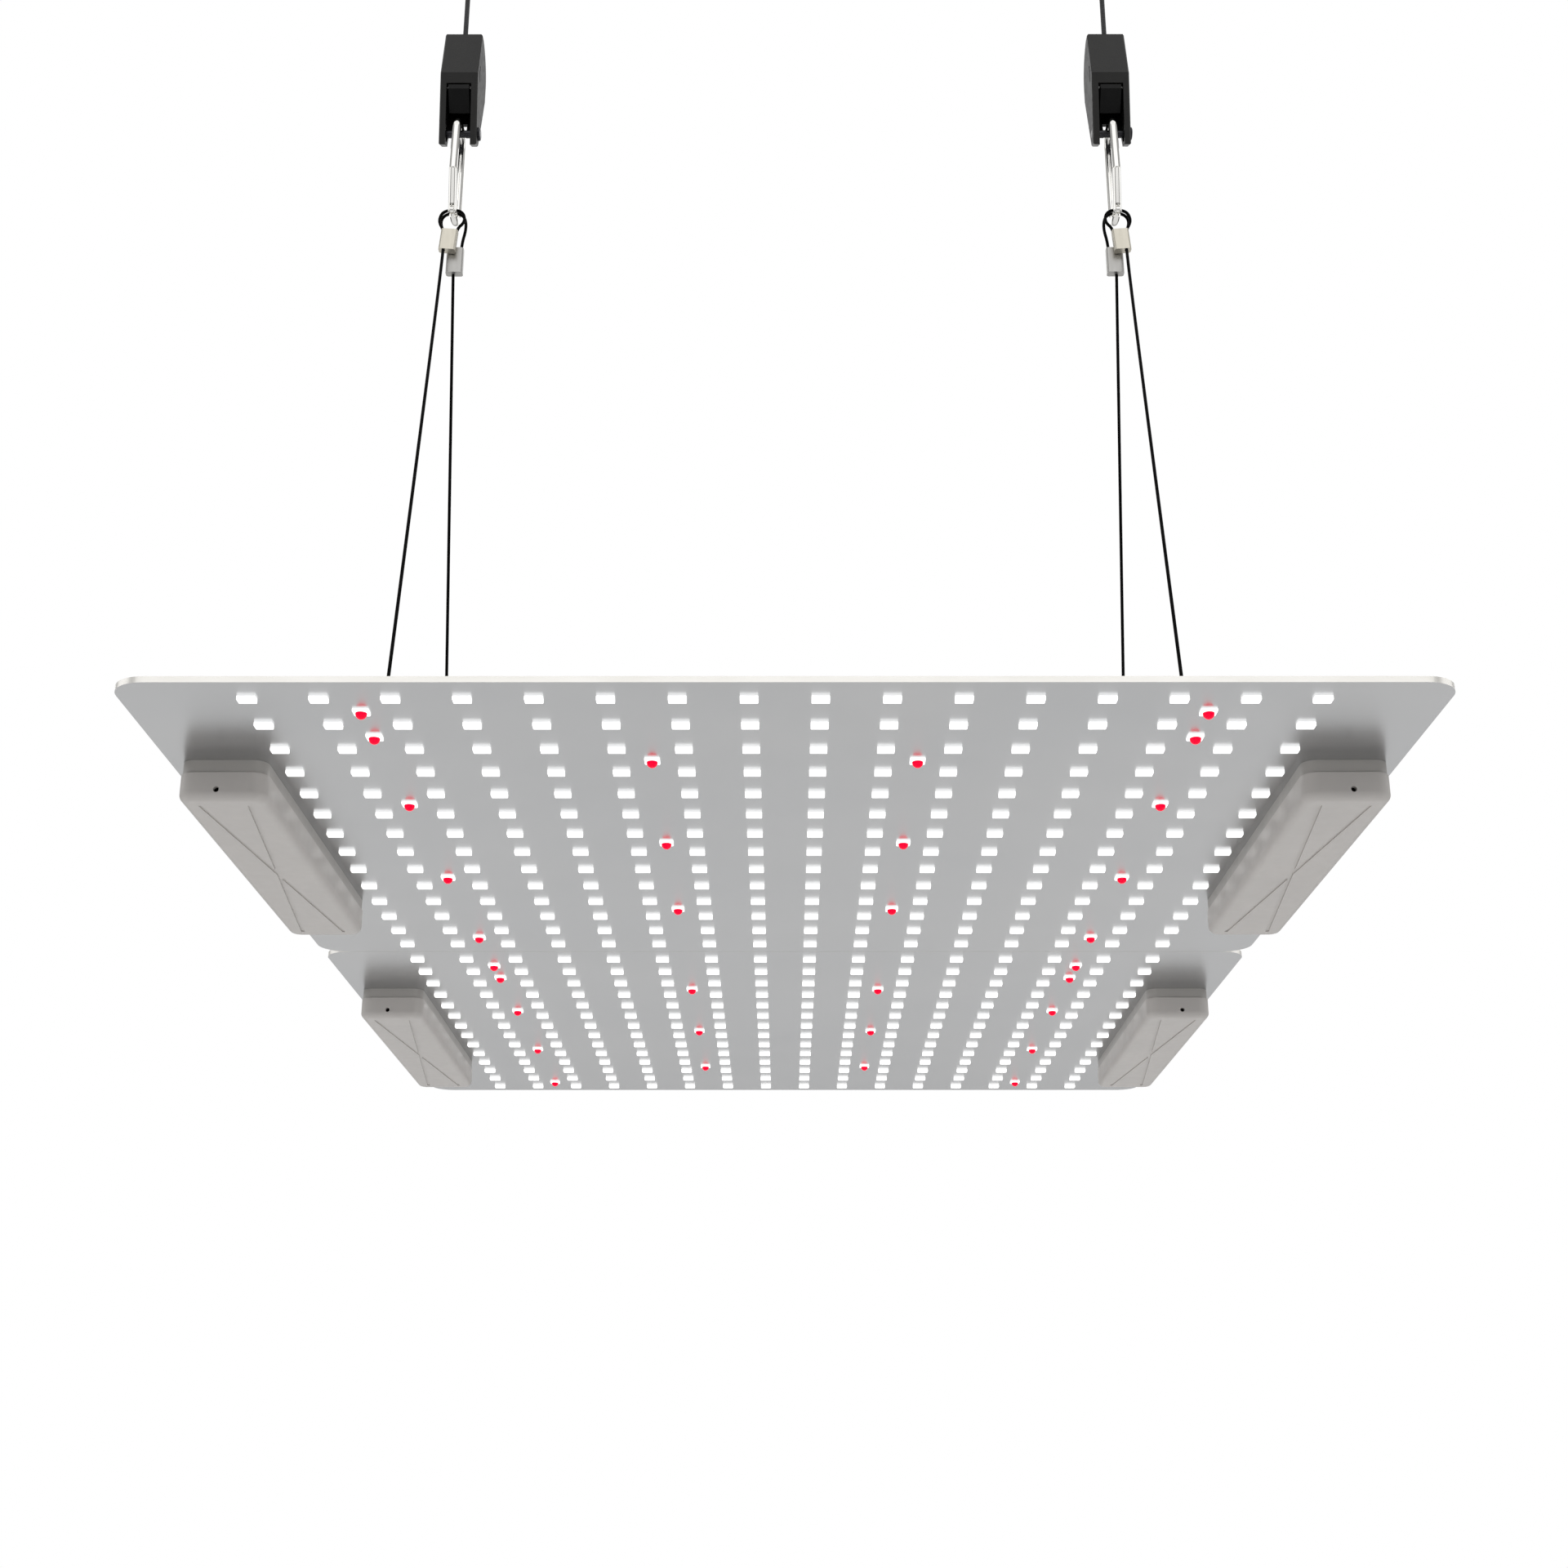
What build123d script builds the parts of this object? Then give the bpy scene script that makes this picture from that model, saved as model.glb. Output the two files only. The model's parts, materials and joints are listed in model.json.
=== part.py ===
"""LED grow light: two boards joined side by side, driver covers beneath, hung on wires, carabiners
and rope ratchets. Millimetres, +Z up, +Y away from the front edge. The origin lies midway between
the two boards, level with the flat bottoms of the driver covers."""
import os
from math import atan2, degrees, radians, sin, tan

from build123d import *

SIDES = {"left": -1, "right": 1}
ENDS = {"front": -1, "rear": 1}

# LED boards
BOARD_WIDTH = 372.0
BOARD_PITCH = 283.8
BOARD_GAP = 0.3
BOARD_THICK = 1.8
BOARD_CORNER = 10.0
COVER_HEIGHT = 12.6
BOARD_LOW = COVER_HEIGHT
BOARD_TOP = BOARD_LOW + BOARD_THICK

# LEDs
LED_PITCH = 20.0
LED_COLUMNS = 16
LED_ROWS = 14
FIRST_ROW = 11.7
WHITE_LED = (5.1, 3.3, 1.05)
RED_BASE = (4.6, 4.6, 0.65)
RED_LENS_RADIUS = 1.7
RED_LENS_DROP = 2.45
RED_COLUMNS = {120.0: (0.5, 1.5, 4.5, 8.5, 12.5), 40.0: (2.5, 6.5, 10.5)}
SCREW_ROOM = 0.05

# driver covers
COVER_X = 169.2
COVER_START = 61.1
COVER_LENGTH = 154.0
COVER_WIDTH = 26.8
COVER_WALL = 1.6
COVER_CORNER = 4.6
COVER_EDGE = 2.6
BASE_HEIGHT = 4.0
BASE_INSET = 0.4
BASE_WALL = 2.0
BASE_INNER_CORNER = 2.2
WEB_HALF = 1.0
SHELL_HEIGHT = COVER_HEIGHT - BASE_HEIGHT
VENT_RADIUS = 0.9
VENT_HEIGHT = 3.2
VENT_OFFSET = 1.4
GROOVE_WIDTH = 1.2
GROOVE_DEPTH = 0.4
GROOVE_REACH_X = COVER_WIDTH * 0.28
GROOVE_REACH_Y = COVER_LENGTH * 0.46
BOSS_INSET = 9.0
BOSS_RADIUS = 3.2
SCREW_RADIUS = 1.45
SCREW_HEAD_RADIUS = 2.8
SCREW_HEAD_HEIGHT = 1.9
SCREW_LENGTH = 11.0
SCREW_FLOOR = 0.8

# driver parts under a cover: each size, then its distance along the cover from the middle
RECTIFIER_SIZE = (9.0, 14.0, 6.0)
RECTIFIER_Y = -49.0
FUSE_RADIUS = 3.2
FUSE_LENGTH = 12.0
FUSE_Y = -31.0
CHIP_SIZE = (10.0, 6.0, 1.7)
CHIP_YS = (-15.0, 1.0, 17.0, 33.0)
CAPACITOR_SIZE = (4.0, 10.0, 8.0)
CAPACITOR_X = 7.0
CAPACITOR_Y = 53.0

# bars that join the boards and carry the wires
HANGER_X = 152.0
BAR_THICK = 2.0
BAR_WIDTH = 20.0
BAR_LENGTH = 236.0
BAR_HEIGHT = 15.6
BAR_CORNER = 5.0
EYE_Y = 90.0
EYE_HEIGHT = 10.1
EYE_RADIUS = 2.0
STUD_RADIUS = 2.0
STUD_SEAT = 1.4
STUD_LENGTH = 8.6
NUT_FLATS = 7.0
NUT_HEIGHT = 3.2
BAR_STUD_X = 142.0
BAR_STUD_YS = (-104.0, -34.0, 34.0, 104.0)

# power box over the middle of the joint
BOX_LENGTH = 92.0
BOX_DEPTH = 62.0
BOX_HEIGHT = 24.0
BOX_WALL = 2.0
BOX_CORNER = 5.0
LID_THICK = 2.2
LID_LIP = 1.5
LID_EDGE = 1.2
LIP_ROOM = 0.4
LIP_WALL = 1.5
POST_X = 39.5
POST_Y = 24.5
POST_RADIUS = 3.2
LID_SCREW_RADIUS = 1.3
LID_SCREW_HEAD_RADIUS = 2.5
LID_SCREW_HEAD_HEIGHT = 1.6
LID_SCREW_LENGTH = 14.0
BOX_STUD_X = 26.0
BOX_STUD_Y = 21.0
TERMINAL_SIZE = (24.0, 9.0, 10.0)
TERMINAL_Y = 11.0
TERMINAL_PITCH = 7.0
TERMINAL_WINDOW = 1.0
TERMINAL_SCREW_RADIUS = 1.6
LEAD_RADIUS = 0.9
LEAD_HEIGHT = 5.0
LEAD_GRIP = 3.0

# cable gland in the rear wall of the power box
GLAND_BORE = 3.6
GLAND_THREAD = 6.0
GLAND_HEX = 15.0
GLAND_HEIGHT = 12.5
GLAND_INNER_LENGTH = 7.0
GLAND_FLANGE = 5.0
GLAND_NECK_TOP = 7.0
GLAND_CAP_TOP = 13.0
GLAND_DOME = 5.0
GLAND_NUT_HEIGHT = 4.0

# hanging wires
WIRE_RADIUS = 0.7
LOOP_CREST = 363.6
UPPER_FERRULE = (7.6, 4.0, 10.7)
LOWER_FERRULE = (7.7, 4.0, 13.0)
EYE_FERRULE = (4.4, 2.6, 9.0)
FERRULE_TILT = 4.5
UPPER_FERRULE_PLACE = (-1.45, -2.4, 346.4)
LOWER_FERRULE_PLACE = (1.3, 2.0, 338.2)
EYE_FERRULE_RISE = 20.0

# carabiners
CLIP_WIRE = 1.9
CLIP_BACK = 8.1
CLIP_TOP_FRONT = -7.4
CLIP_BEND = 7.0
CLIP_RISE = 50.7
CLIP_LATCH = (-9.6, 21.0)
CLIP_NOSE = (-9.66, 20.2)
CLIP_HINGE = (-5.4, 1.0)
LOWER_CLIP_Z = 359.7
UPPER_CLIP_Z = 505.55
FORK_RADIUS = 3.4
TONGUE_HALF = 0.7
FORK_HALF = 1.0
RIVET_RADIUS = 0.75
RIVET_HOLE = 0.8
LATCH_GAP = 0.4
BLADE_HALF = 0.6
BLADE_RISE = 2.1
BLADE_SLOT = 3.1

# rope ratchets
PIN_Z = 406.5
PIN_RADIUS = 1.7
PIN_HEAD_RADIUS = 3.1
PIN_HEAD = 1.2
HOUSING_HALF = 8.75
HOUSING_PLATE = 2.2
HOUSING_WALL = 1.9
HOUSING_EDGE = 1.1
WINDOW_HALF = 5.8
WINDOW_TOP = 428.3
REAR_SLOT_HALF = 2.5
REAR_SLOT_TOP = 416.2
REAR_MOUTH_TOP = 407.6
HOUSING_TOP = 460.5
WHEEL_Y = 4.6
WHEEL_Z = 437.7
WHEEL_RIM = 6.6
WHEEL_ROOT = 3.15
WHEEL_HALF = 4.0
GROOVE_HALF = 1.6
RATCHET_TEETH = 12
AXLE_RADIUS = 1.5
AXLE_HALF = 7.6
BOSS_FACE = 4.3
RUNNING = 0.05
LEVER_PIVOT = (-4.6, 429.3)
LEVER_HALF = 4.8
LEVER_HUB = 2.2
LEVER_PIN = 1.0
SPRING_RADIUS = 1.65
SPRING_WIRE = 0.25
SPRING_PITCH = 0.7
SPRING_LENGTH = 2.1
SPRING_X = -4.6
SLOT_OUTER_RADIUS = 10.0
SLOT_INNER_RADIUS = 8.8
SLOT_DEPTH = 0.7

# ropes
ROPE_RADIUS = 1.15
ROPE_WRAP_TOP = HOUSING_TOP + 0.6
ROPE_TAIL_TOP = 458.1
KNOT_RADIUS = 2.6
ROPE_BORE = 1.5
ROPE_FERRULE_Z = 486.0
ROPE_CREST = 509.7
ROPE_FERRULE = (7.6, 5.0, 11.0)


def block(x0, x1, y0, y1, z0, z1):
    """A box given by its limits."""
    return Pos((x0 + x1) / 2, (y0 + y1) / 2, (z0 + z1) / 2) * Box(x1 - x0, y1 - y0, z1 - z0)


def rounded_block(length_x, length_y, z0, z1, corner):
    """An upright box on the Z axis with rounded vertical edges."""
    return Pos(0, 0, z0) * extrude(RectangleRounded(length_x, length_y, corner), z1 - z0)


def rod(radius, z0, z1):
    """An upright cylinder on the Z axis."""
    return Pos(0, 0, (z0 + z1) / 2) * Cylinder(radius, z1 - z0)


def cross_rod(radius, x0, x1, y, z):
    """A cylinder along X through (y, z)."""
    return Pos((x0 + x1) / 2, y, z) * Rot(0, 90, 0) * Cylinder(radius, x1 - x0)


def side_prism(outline, half_width):
    """A closed outline in the YZ plane, drawn out to half_width on each side of x = 0."""
    face = make_face(Plane.YZ * outline)
    return Pos(-half_width, 0, 0) * extrude(face, 2 * half_width, dir=(1, 0, 0))


def round_ended_rod(radius, length):
    """An upright rod from z = 0 with a hemisphere below it."""
    slope = radius * sin(radians(45))
    arc = ThreePointArc((0, -radius), (slope, -slope), (radius, 0))
    sides = Polyline((radius, 0), (radius, length), (0, length), (0, -radius))
    return revolve(make_face(Plane.XZ * (arc + sides)), Axis.Z)


def hexagon(flats, z0, z1):
    """An upright hexagonal prism on the Z axis."""
    return Pos(0, 0, z0) * extrude(RegularPolygon(flats / 2, 6, major_radius=False), z1 - z0)


def bend_radii(points):
    """The largest arcs that the runs on each side of every corner allow."""
    radii = []
    for before, at, after in zip(points, points[1:], points[2:]):
        arriving = Vector(*at) - Vector(*before)
        leaving = Vector(*after) - Vector(*at)
        half_turn = radians(arriving.get_angle(leaving)) / 2
        shorter = min(arriving.length, leaving.length)
        radii.append(0.45 * shorter / tan(half_turn))
    return radii


def cord_tube(name, points, radius):
    """A round cord along straight runs joined by tangent arcs."""
    radii = bend_radii(points)
    path = FilletPolyline(*points, radius=radii)
    section = Plane(origin=path @ 0, z_dir=path % 0) * Circle(radius)
    solid = sweep(section, path=path)
    wanted = path.length * section.area
    print(f"{name}: length {path.length:.1f}, volume ratio {solid.volume / wanted:.4f},", end=" ")
    print("radii", " ".join(f"{r:.1f}" for r in radii))
    return solid


def hanger(side, u, y, z):
    """A point beside one hanger: u is the distance inwards from the hanger's own line."""
    return (SIDES[side] * (HANGER_X - u), y, z)


# ---- boards, LEDs and driver covers -------------------------------------------------------------
def board_start(end):
    """The Y of a board's edge that faces the front."""
    return -BOARD_PITCH if end == "front" else 0.0


def cover_middle(side, end):
    """The centre of a driver cover's outline."""
    return SIDES[side] * COVER_X, board_start(end) + COVER_START + COVER_LENGTH / 2


def boss_points(end):
    """The Y of the two screw bosses of a driver cover."""
    start = board_start(end) + COVER_START
    return start + BOSS_INSET, start + COVER_LENGTH - BOSS_INSET


def stud_places(end):
    """Where threaded studs stand on a board."""
    places = [(x * BAR_STUD_X, y) for x in (-1, 1) for y in BAR_STUD_YS]
    places += [(x * BOX_STUD_X, y * BOX_STUD_Y) for x in (-1, 1) for y in (-1, 1)]
    return [(x, y) for x, y in places if y * ENDS[end] > 0]


def led_board(end):
    """One aluminium-core board with screw holes and blind stud holes."""
    depth = BOARD_PITCH - BOARD_GAP
    board = rounded_block(BOARD_WIDTH, depth, BOARD_LOW, BOARD_TOP, BOARD_CORNER)
    board = Pos(0, board_start(end) + BOARD_PITCH / 2, 0) * board
    hole = rod(SCREW_RADIUS + SCREW_ROOM, BOARD_LOW - 1, BOARD_TOP + 1)
    for side in SIDES:
        for y in boss_points(end):
            board -= Pos(SIDES[side] * COVER_X, y, 0) * hole
    for x, y in stud_places(end):
        board -= Pos(x, y, 0) * rod(STUD_RADIUS, BOARD_TOP - STUD_SEAT, BOARD_TOP + 1)
    return board


def white_leds(end):
    """The grid of white LED packages under one board."""
    x0 = -LED_PITCH * (LED_COLUMNS - 1) / 2
    y0 = board_start(end) + FIRST_ROW
    package = Box(*WHITE_LED)
    z = BOARD_LOW - WHITE_LED[2] / 2
    return [
        Pos(x0 + LED_PITCH * column, y0 + LED_PITCH * row, z) * package
        for column in range(LED_COLUMNS)
        for row in range(LED_ROWS)
    ]


def red_led():
    """A thin square base with a domed lens below it."""
    base = Pos(0, 0, -RED_BASE[2] / 2) * Box(*RED_BASE)
    middle = RED_LENS_RADIUS - RED_LENS_DROP
    lens = Pos(0, 0, middle / 2) * Cylinder(RED_LENS_RADIUS, -middle)
    dome = Pos(0, 0, middle) * Sphere(RED_LENS_RADIUS)
    return base + lens + (dome & block(-3, 3, -3, 3, -RED_LENS_DROP - 1, middle))


def red_leds(end):
    """The red LEDs between the columns of white ones."""
    led = red_led()
    y0 = board_start(end) + FIRST_ROW
    return [
        Pos(sign * x, y0 + LED_PITCH * row, BOARD_LOW) * led
        for x, rows in RED_COLUMNS.items()
        for sign in (-1, 1)
        for row in rows
    ]


def crossed_grooves():
    """Two shallow grooves that cross on the flat bottom of a cover."""
    length = 2 * (GROOVE_REACH_X**2 + GROOVE_REACH_Y**2) ** 0.5
    turn = degrees(atan2(GROOVE_REACH_X, GROOVE_REACH_Y))
    groove = Box(GROOVE_WIDTH, length, 2 * GROOVE_DEPTH)
    return Rot(0, 0, turn) * groove + Rot(0, 0, -turn) * groove


def driver_cover(side, end):
    """The lower shell of a driver cover, open towards the board, with two screw bosses."""
    x, y = cover_middle(side, end)
    shell = rounded_block(COVER_WIDTH, COVER_LENGTH, 0, SHELL_HEIGHT, COVER_CORNER)
    shell = fillet(shell.faces().sort_by(Axis.Z)[0].edges(), COVER_EDGE)
    inner = (COVER_WIDTH - 2 * COVER_WALL, COVER_LENGTH - 2 * COVER_WALL)
    shell -= rounded_block(*inner, COVER_WALL, SHELL_HEIGHT + 1, COVER_CORNER - COVER_WALL)
    shell -= crossed_grooves()
    vent = Rot(90, 0, 0) * Cylinder(VENT_RADIUS, 4 * COVER_WALL)
    shell -= Pos(SIDES[side] * VENT_OFFSET, -COVER_LENGTH / 2, VENT_HEIGHT) * vent
    shell = Pos(x, y, 0) * shell
    for boss_y in boss_points(end):
        shell += Pos(x, boss_y, 0) * rod(BOSS_RADIUS, COVER_WALL - 0.1, SHELL_HEIGHT)
        shell -= Pos(x, boss_y, 0) * rod(SCREW_RADIUS, COVER_WALL + SCREW_FLOOR, SHELL_HEIGHT + 1)
    return shell


def cover_base(side, end):
    """The ring between a cover and the board, with two sleeves round the screws."""
    x, y = cover_middle(side, end)
    outer = (COVER_WIDTH - 2 * BASE_INSET, COVER_LENGTH - 2 * BASE_INSET)
    ring = rounded_block(*outer, SHELL_HEIGHT, COVER_HEIGHT, COVER_CORNER - BASE_INSET)
    inner = (outer[0] - 2 * BASE_WALL, outer[1] - 2 * BASE_WALL)
    ring -= rounded_block(*inner, SHELL_HEIGHT - 1, COVER_HEIGHT + 1, BASE_INNER_CORNER)
    ring = Pos(x, y, 0) * ring
    web = (outer[0] - BASE_WALL) / 2
    for boss_y in boss_points(end):
        low, high = boss_y - WEB_HALF, boss_y + WEB_HALF
        ring += block(x - web, x + web, low, high, SHELL_HEIGHT, COVER_HEIGHT)
        ring += Pos(x, boss_y, 0) * rod(BOSS_RADIUS, SHELL_HEIGHT, COVER_HEIGHT)
        hole = rod(SCREW_RADIUS + SCREW_ROOM, SHELL_HEIGHT - 1, COVER_HEIGHT + 1)
        ring -= Pos(x, boss_y, 0) * hole
    return ring


def under_board(size, x, y):
    """A box on the lower face of a board."""
    return Pos(x, y, BOARD_LOW - size[2] / 2) * Box(*size)


def driver_parts():
    """Rectifier, fuse, driver chips and film capacitors on the board, under every cover."""
    chips = []
    for side in SIDES:
        for end in ENDS:
            x, y = cover_middle(side, end)
            fuse = Rot(90, 0, 0) * Cylinder(FUSE_RADIUS, FUSE_LENGTH)
            chips.append(under_board(RECTIFIER_SIZE, x, y + RECTIFIER_Y))
            chips.append(Pos(x, y + FUSE_Y, BOARD_LOW - FUSE_RADIUS) * fuse)
            for chip_y in CHIP_YS:
                chips.append(under_board(CHIP_SIZE, x, y + chip_y))
            for sign in (-1, 1):
                chips.append(under_board(CAPACITOR_SIZE, x + sign * CAPACITOR_X, y + CAPACITOR_Y))
    return chips


def pan_screw(radius, head_radius, head_height, seat, length):
    """A pan-head screw that points down, its head seated at a height."""
    head = rod(head_radius, seat, seat + head_height)
    head = fillet(head.faces().sort_by(Axis.Z)[-1].edges(), head_height * 0.45)
    reach = head_radius * 0.6
    slot = block(-reach, reach, -0.35, 0.35, seat + head_height * 0.55, seat + head_height + 1)
    head -= slot
    head -= Rot(0, 0, 90) * slot
    return head + rod(radius, seat - length, seat + 0.1)


def cover_screws():
    """Two screws through the board into every driver cover."""
    screw = pan_screw(SCREW_RADIUS, SCREW_HEAD_RADIUS, SCREW_HEAD_HEIGHT, BOARD_TOP, SCREW_LENGTH)
    return [
        Pos(SIDES[side] * COVER_X, y, 0) * screw
        for side in SIDES
        for end in ENDS
        for y in boss_points(end)
    ]


# ---- joining bars, studs and power box -----------------------------------------------------------
def joining_bar(side):
    """An angle bar across both boards; its upright flange has an eye for each wire."""
    outer = HANGER_X + BAR_THICK / 2
    half = BAR_LENGTH / 2
    base = block(outer - BAR_WIDTH, outer, -half, half, BOARD_TOP, BOARD_TOP + BAR_THICK)
    flange = block(outer - BAR_THICK, outer, -half, half, BOARD_TOP, BOARD_TOP + BAR_HEIGHT)
    bar = base + flange
    upright_ends = bar.edges().filter_by(Axis.X).sort_by(Axis.Z)[-2:]
    bar = fillet(upright_ends, BAR_CORNER)
    for y in (-EYE_Y, EYE_Y):
        bar -= cross_rod(EYE_RADIUS, outer - BAR_THICK - 1, outer + 1, y, BOARD_TOP + EYE_HEIGHT)
    for y in BAR_STUD_YS:
        bar -= Pos(BAR_STUD_X, y, 0) * rod(STUD_RADIUS + 0.1, BOARD_TOP - 1, BOARD_TOP + BAR_THICK + 1)
    return bar if SIDES[side] > 0 else mirror(bar, Plane.YZ)


def clinch_studs():
    """Flush studs pressed into the boards from their upper side."""
    low = BOARD_TOP - STUD_SEAT
    stud = rod(STUD_RADIUS, low, low + STUD_LENGTH)
    stud = chamfer(stud.faces().sort_by(Axis.Z)[-1].edges(), 0.4)
    return [Pos(x, y, 0) * stud for end in ENDS for x, y in stud_places(end)]


def stud_nuts():
    """Hexagon nuts that hold the bars and the power box."""
    low = BOARD_TOP + BAR_THICK
    nut = hexagon(NUT_FLATS, low, low + NUT_HEIGHT)
    nut -= rod(STUD_RADIUS, low - 1, low + NUT_HEIGHT + 1)
    return [Pos(x, y, 0) * nut for end in ENDS for x, y in stud_places(end)]


def box_posts():
    """The corner posts of the power box."""
    return [(x * POST_X, y * POST_Y) for x in (-1, 1) for y in (-1, 1)]


def power_box_base():
    """An open tray across the joint, with corner posts and windows over the terminal blocks."""
    top = BOARD_TOP + BOX_HEIGHT
    tray = rounded_block(BOX_LENGTH, BOX_DEPTH, BOARD_TOP, top, BOX_CORNER)
    inner = (BOX_LENGTH - 2 * BOX_WALL, BOX_DEPTH - 2 * BOX_WALL)
    tray -= rounded_block(*inner, BOARD_TOP + BOX_WALL, top + 1, BOX_CORNER - BOX_WALL)
    for x, y in box_posts():
        tray += Pos(x, y, 0) * rod(POST_RADIUS, BOARD_TOP + BOX_WALL - 0.1, top)
        tray -= Pos(x, y, 0) * rod(LID_SCREW_RADIUS, BOARD_TOP + BOX_WALL + 6, top + 1)
    for x, y in [(x * BOX_STUD_X, y * BOX_STUD_Y) for x in (-1, 1) for y in (-1, 1)]:
        tray -= Pos(x, y, 0) * rod(STUD_RADIUS + 0.1, BOARD_TOP - 1, BOARD_TOP + BOX_WALL + 1)
    half_x = TERMINAL_SIZE[0] / 2 + TERMINAL_WINDOW
    half_y = TERMINAL_SIZE[1] / 2 + TERMINAL_WINDOW
    for y in (-TERMINAL_Y, TERMINAL_Y):
        tray -= block(-half_x, half_x, y - half_y, y + half_y, BOARD_TOP - 1, BOARD_TOP + BOX_WALL + 1)
    bore = Rot(90, 0, 0) * Cylinder(GLAND_THREAD, 4 * BOX_WALL)
    return tray - Pos(0, BOX_DEPTH / 2, BOARD_TOP + GLAND_HEIGHT) * bore


def power_box_lid():
    """A flat lid with rounded edges, a locating lip and four screw holes."""
    low = BOARD_TOP + BOX_HEIGHT
    lid = rounded_block(BOX_LENGTH, BOX_DEPTH, low, low + LID_THICK, BOX_CORNER)
    lid = fillet(lid.faces().sort_by(Axis.Z)[-1].edges(), LID_EDGE)
    lip_outer = (BOX_LENGTH - 2 * BOX_WALL - LIP_ROOM, BOX_DEPTH - 2 * BOX_WALL - LIP_ROOM)
    lip_inner = (lip_outer[0] - 2 * LIP_WALL, lip_outer[1] - 2 * LIP_WALL)
    corner = BOX_CORNER - BOX_WALL - LIP_ROOM / 2
    lip = rounded_block(*lip_outer, low - LID_LIP, low, corner)
    lip -= rounded_block(*lip_inner, low - LID_LIP - 1, low + 1, corner / 2)
    for x, y in box_posts():
        lip -= Pos(x, y, 0) * rod(POST_RADIUS + 0.3, low - 3, low)
    pieces = lid + lip
    for x, y in box_posts():
        pieces -= Pos(x, y, 0) * rod(LID_SCREW_RADIUS + 0.2, low - 4, low + 5)
    return pieces


def power_box_screws():
    """Four pan-head screws in the lid."""
    seat = BOARD_TOP + BOX_HEIGHT + LID_THICK
    head = (LID_SCREW_HEAD_RADIUS, LID_SCREW_HEAD_HEIGHT)
    screw = pan_screw(LID_SCREW_RADIUS, *head, seat, LID_SCREW_LENGTH)
    return [Pos(x, y, 0) * screw for x, y in box_posts()]


def terminal_blocks():
    """A three-way terminal block on each board, inside the power box."""
    blocks = []
    top = BOARD_TOP + TERMINAL_SIZE[2]
    for y in (-TERMINAL_Y, TERMINAL_Y):
        half_x = TERMINAL_SIZE[0] / 2
        half_y = TERMINAL_SIZE[1] / 2
        body = block(-half_x, half_x, y - half_y, y + half_y, BOARD_TOP, top)
        for way in (-1, 0, 1):
            x = way * TERMINAL_PITCH
            body -= Pos(x, y, 0) * rod(TERMINAL_SCREW_RADIUS, top - 2, top + 1)
            mouth = Rot(90, 0, 0) * Cylinder(LEAD_RADIUS, 8)
            inward = y - (half_y + 1) * (1 if y > 0 else -1)
            body -= Pos(x, inward, BOARD_TOP + LEAD_HEIGHT) * mouth
        blocks.append(body)
    return blocks


def jumper_leads():
    """Three short leads that pass the mains from one board's terminal block to the other's."""
    reach = TERMINAL_Y - TERMINAL_SIZE[1] / 2 + LEAD_GRIP
    z = BOARD_TOP + LEAD_HEIGHT
    return [
        Pos(way * TERMINAL_PITCH, 0, z) * Rot(90, 0, 0) * Cylinder(LEAD_RADIUS, 2 * reach)
        for way in (-1, 0, 1)
    ]


def gland_axis():
    """A plane whose Z runs out of the gland, away from the power box."""
    return Plane(origin=(0, BOX_DEPTH / 2, BOARD_TOP + GLAND_HEIGHT), x_dir=(1, 0, 0), z_dir=(0, 1, 0))


def cable_gland():
    """The threaded body of the gland, with its hexagon and domed cap outside the wall."""
    body = rod(GLAND_THREAD, -BOX_WALL - GLAND_INNER_LENGTH, 1)
    body += hexagon(GLAND_HEX, 0, GLAND_FLANGE)
    body += rod(GLAND_HEX / 2 - 0.8, GLAND_FLANGE, GLAND_NECK_TOP)
    body += hexagon(GLAND_HEX - 0.8, GLAND_NECK_TOP, GLAND_CAP_TOP)
    dome = Cone(GLAND_HEX / 2 - 0.6, GLAND_BORE + 1.4, GLAND_DOME)
    body += Pos(0, 0, GLAND_CAP_TOP + GLAND_DOME / 2) * dome
    body -= rod(GLAND_BORE, -20, 30)
    return gland_axis().location * body


def gland_nut():
    """The lock nut on the gland's thread, inside the power box."""
    nut = hexagon(GLAND_HEX, -BOX_WALL - GLAND_NUT_HEIGHT, -BOX_WALL)
    nut -= rod(GLAND_THREAD, -20, 5)
    return gland_axis().location * nut


# ---- hanging wires and their ferrules --------------------------------------------------------------
WIRE_LOOPS = {
    "front": (
        (1.0, -2.4, 342.7),
        (1.4, -2.4, 352.3),
        (5.8, -1.7, 357.3),
        (3.8, -1.3, LOOP_CREST + 0.1),
        (-4.8, -1.3, LOOP_CREST),
        (-6.8, -1.7, 357.5),
        (-3.9, -2.4, 352.1),
        (-3.2, -2.5, 340.5),
    ),
    "rear": (
        (3.6, 2.0, 333.7),
        (3.6, 2.0, 346.2),
        (6.0, 1.6, 357.1),
        (3.8, 1.3, LOOP_CREST + 0.1),
        (-4.8, 1.3, LOOP_CREST),
        (-6.8, 1.6, 357.3),
        (0.2, 2.0, 346.5),
        (0.9, 2.0, 331.2),
    ),
}
EYE_LOOP = (
    (-0.9, 25.0),
    (-1.0, 15.0),
    (-3.4, 7.0),
    (-2.2, -0.4),
    (2.2, -0.2),
    (3.4, 7.0),
    (1.0, 15.0),
    (0.9, 24.0),
)


def eye_plane(side, end):
    """The frame of a wire's lower loop: X across the flange, Z up along the wire."""
    eye = hanger(side, 0, ENDS[end] * EYE_Y, BOARD_TOP + EYE_HEIGHT)
    top = WIRE_LOOPS[end][-1]
    rise = Vector(0, top[1] - eye[1], top[2] - eye[2]).normalized()
    return Plane(origin=eye, x_dir=(-SIDES[side], 0, 0), z_dir=rise)


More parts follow.
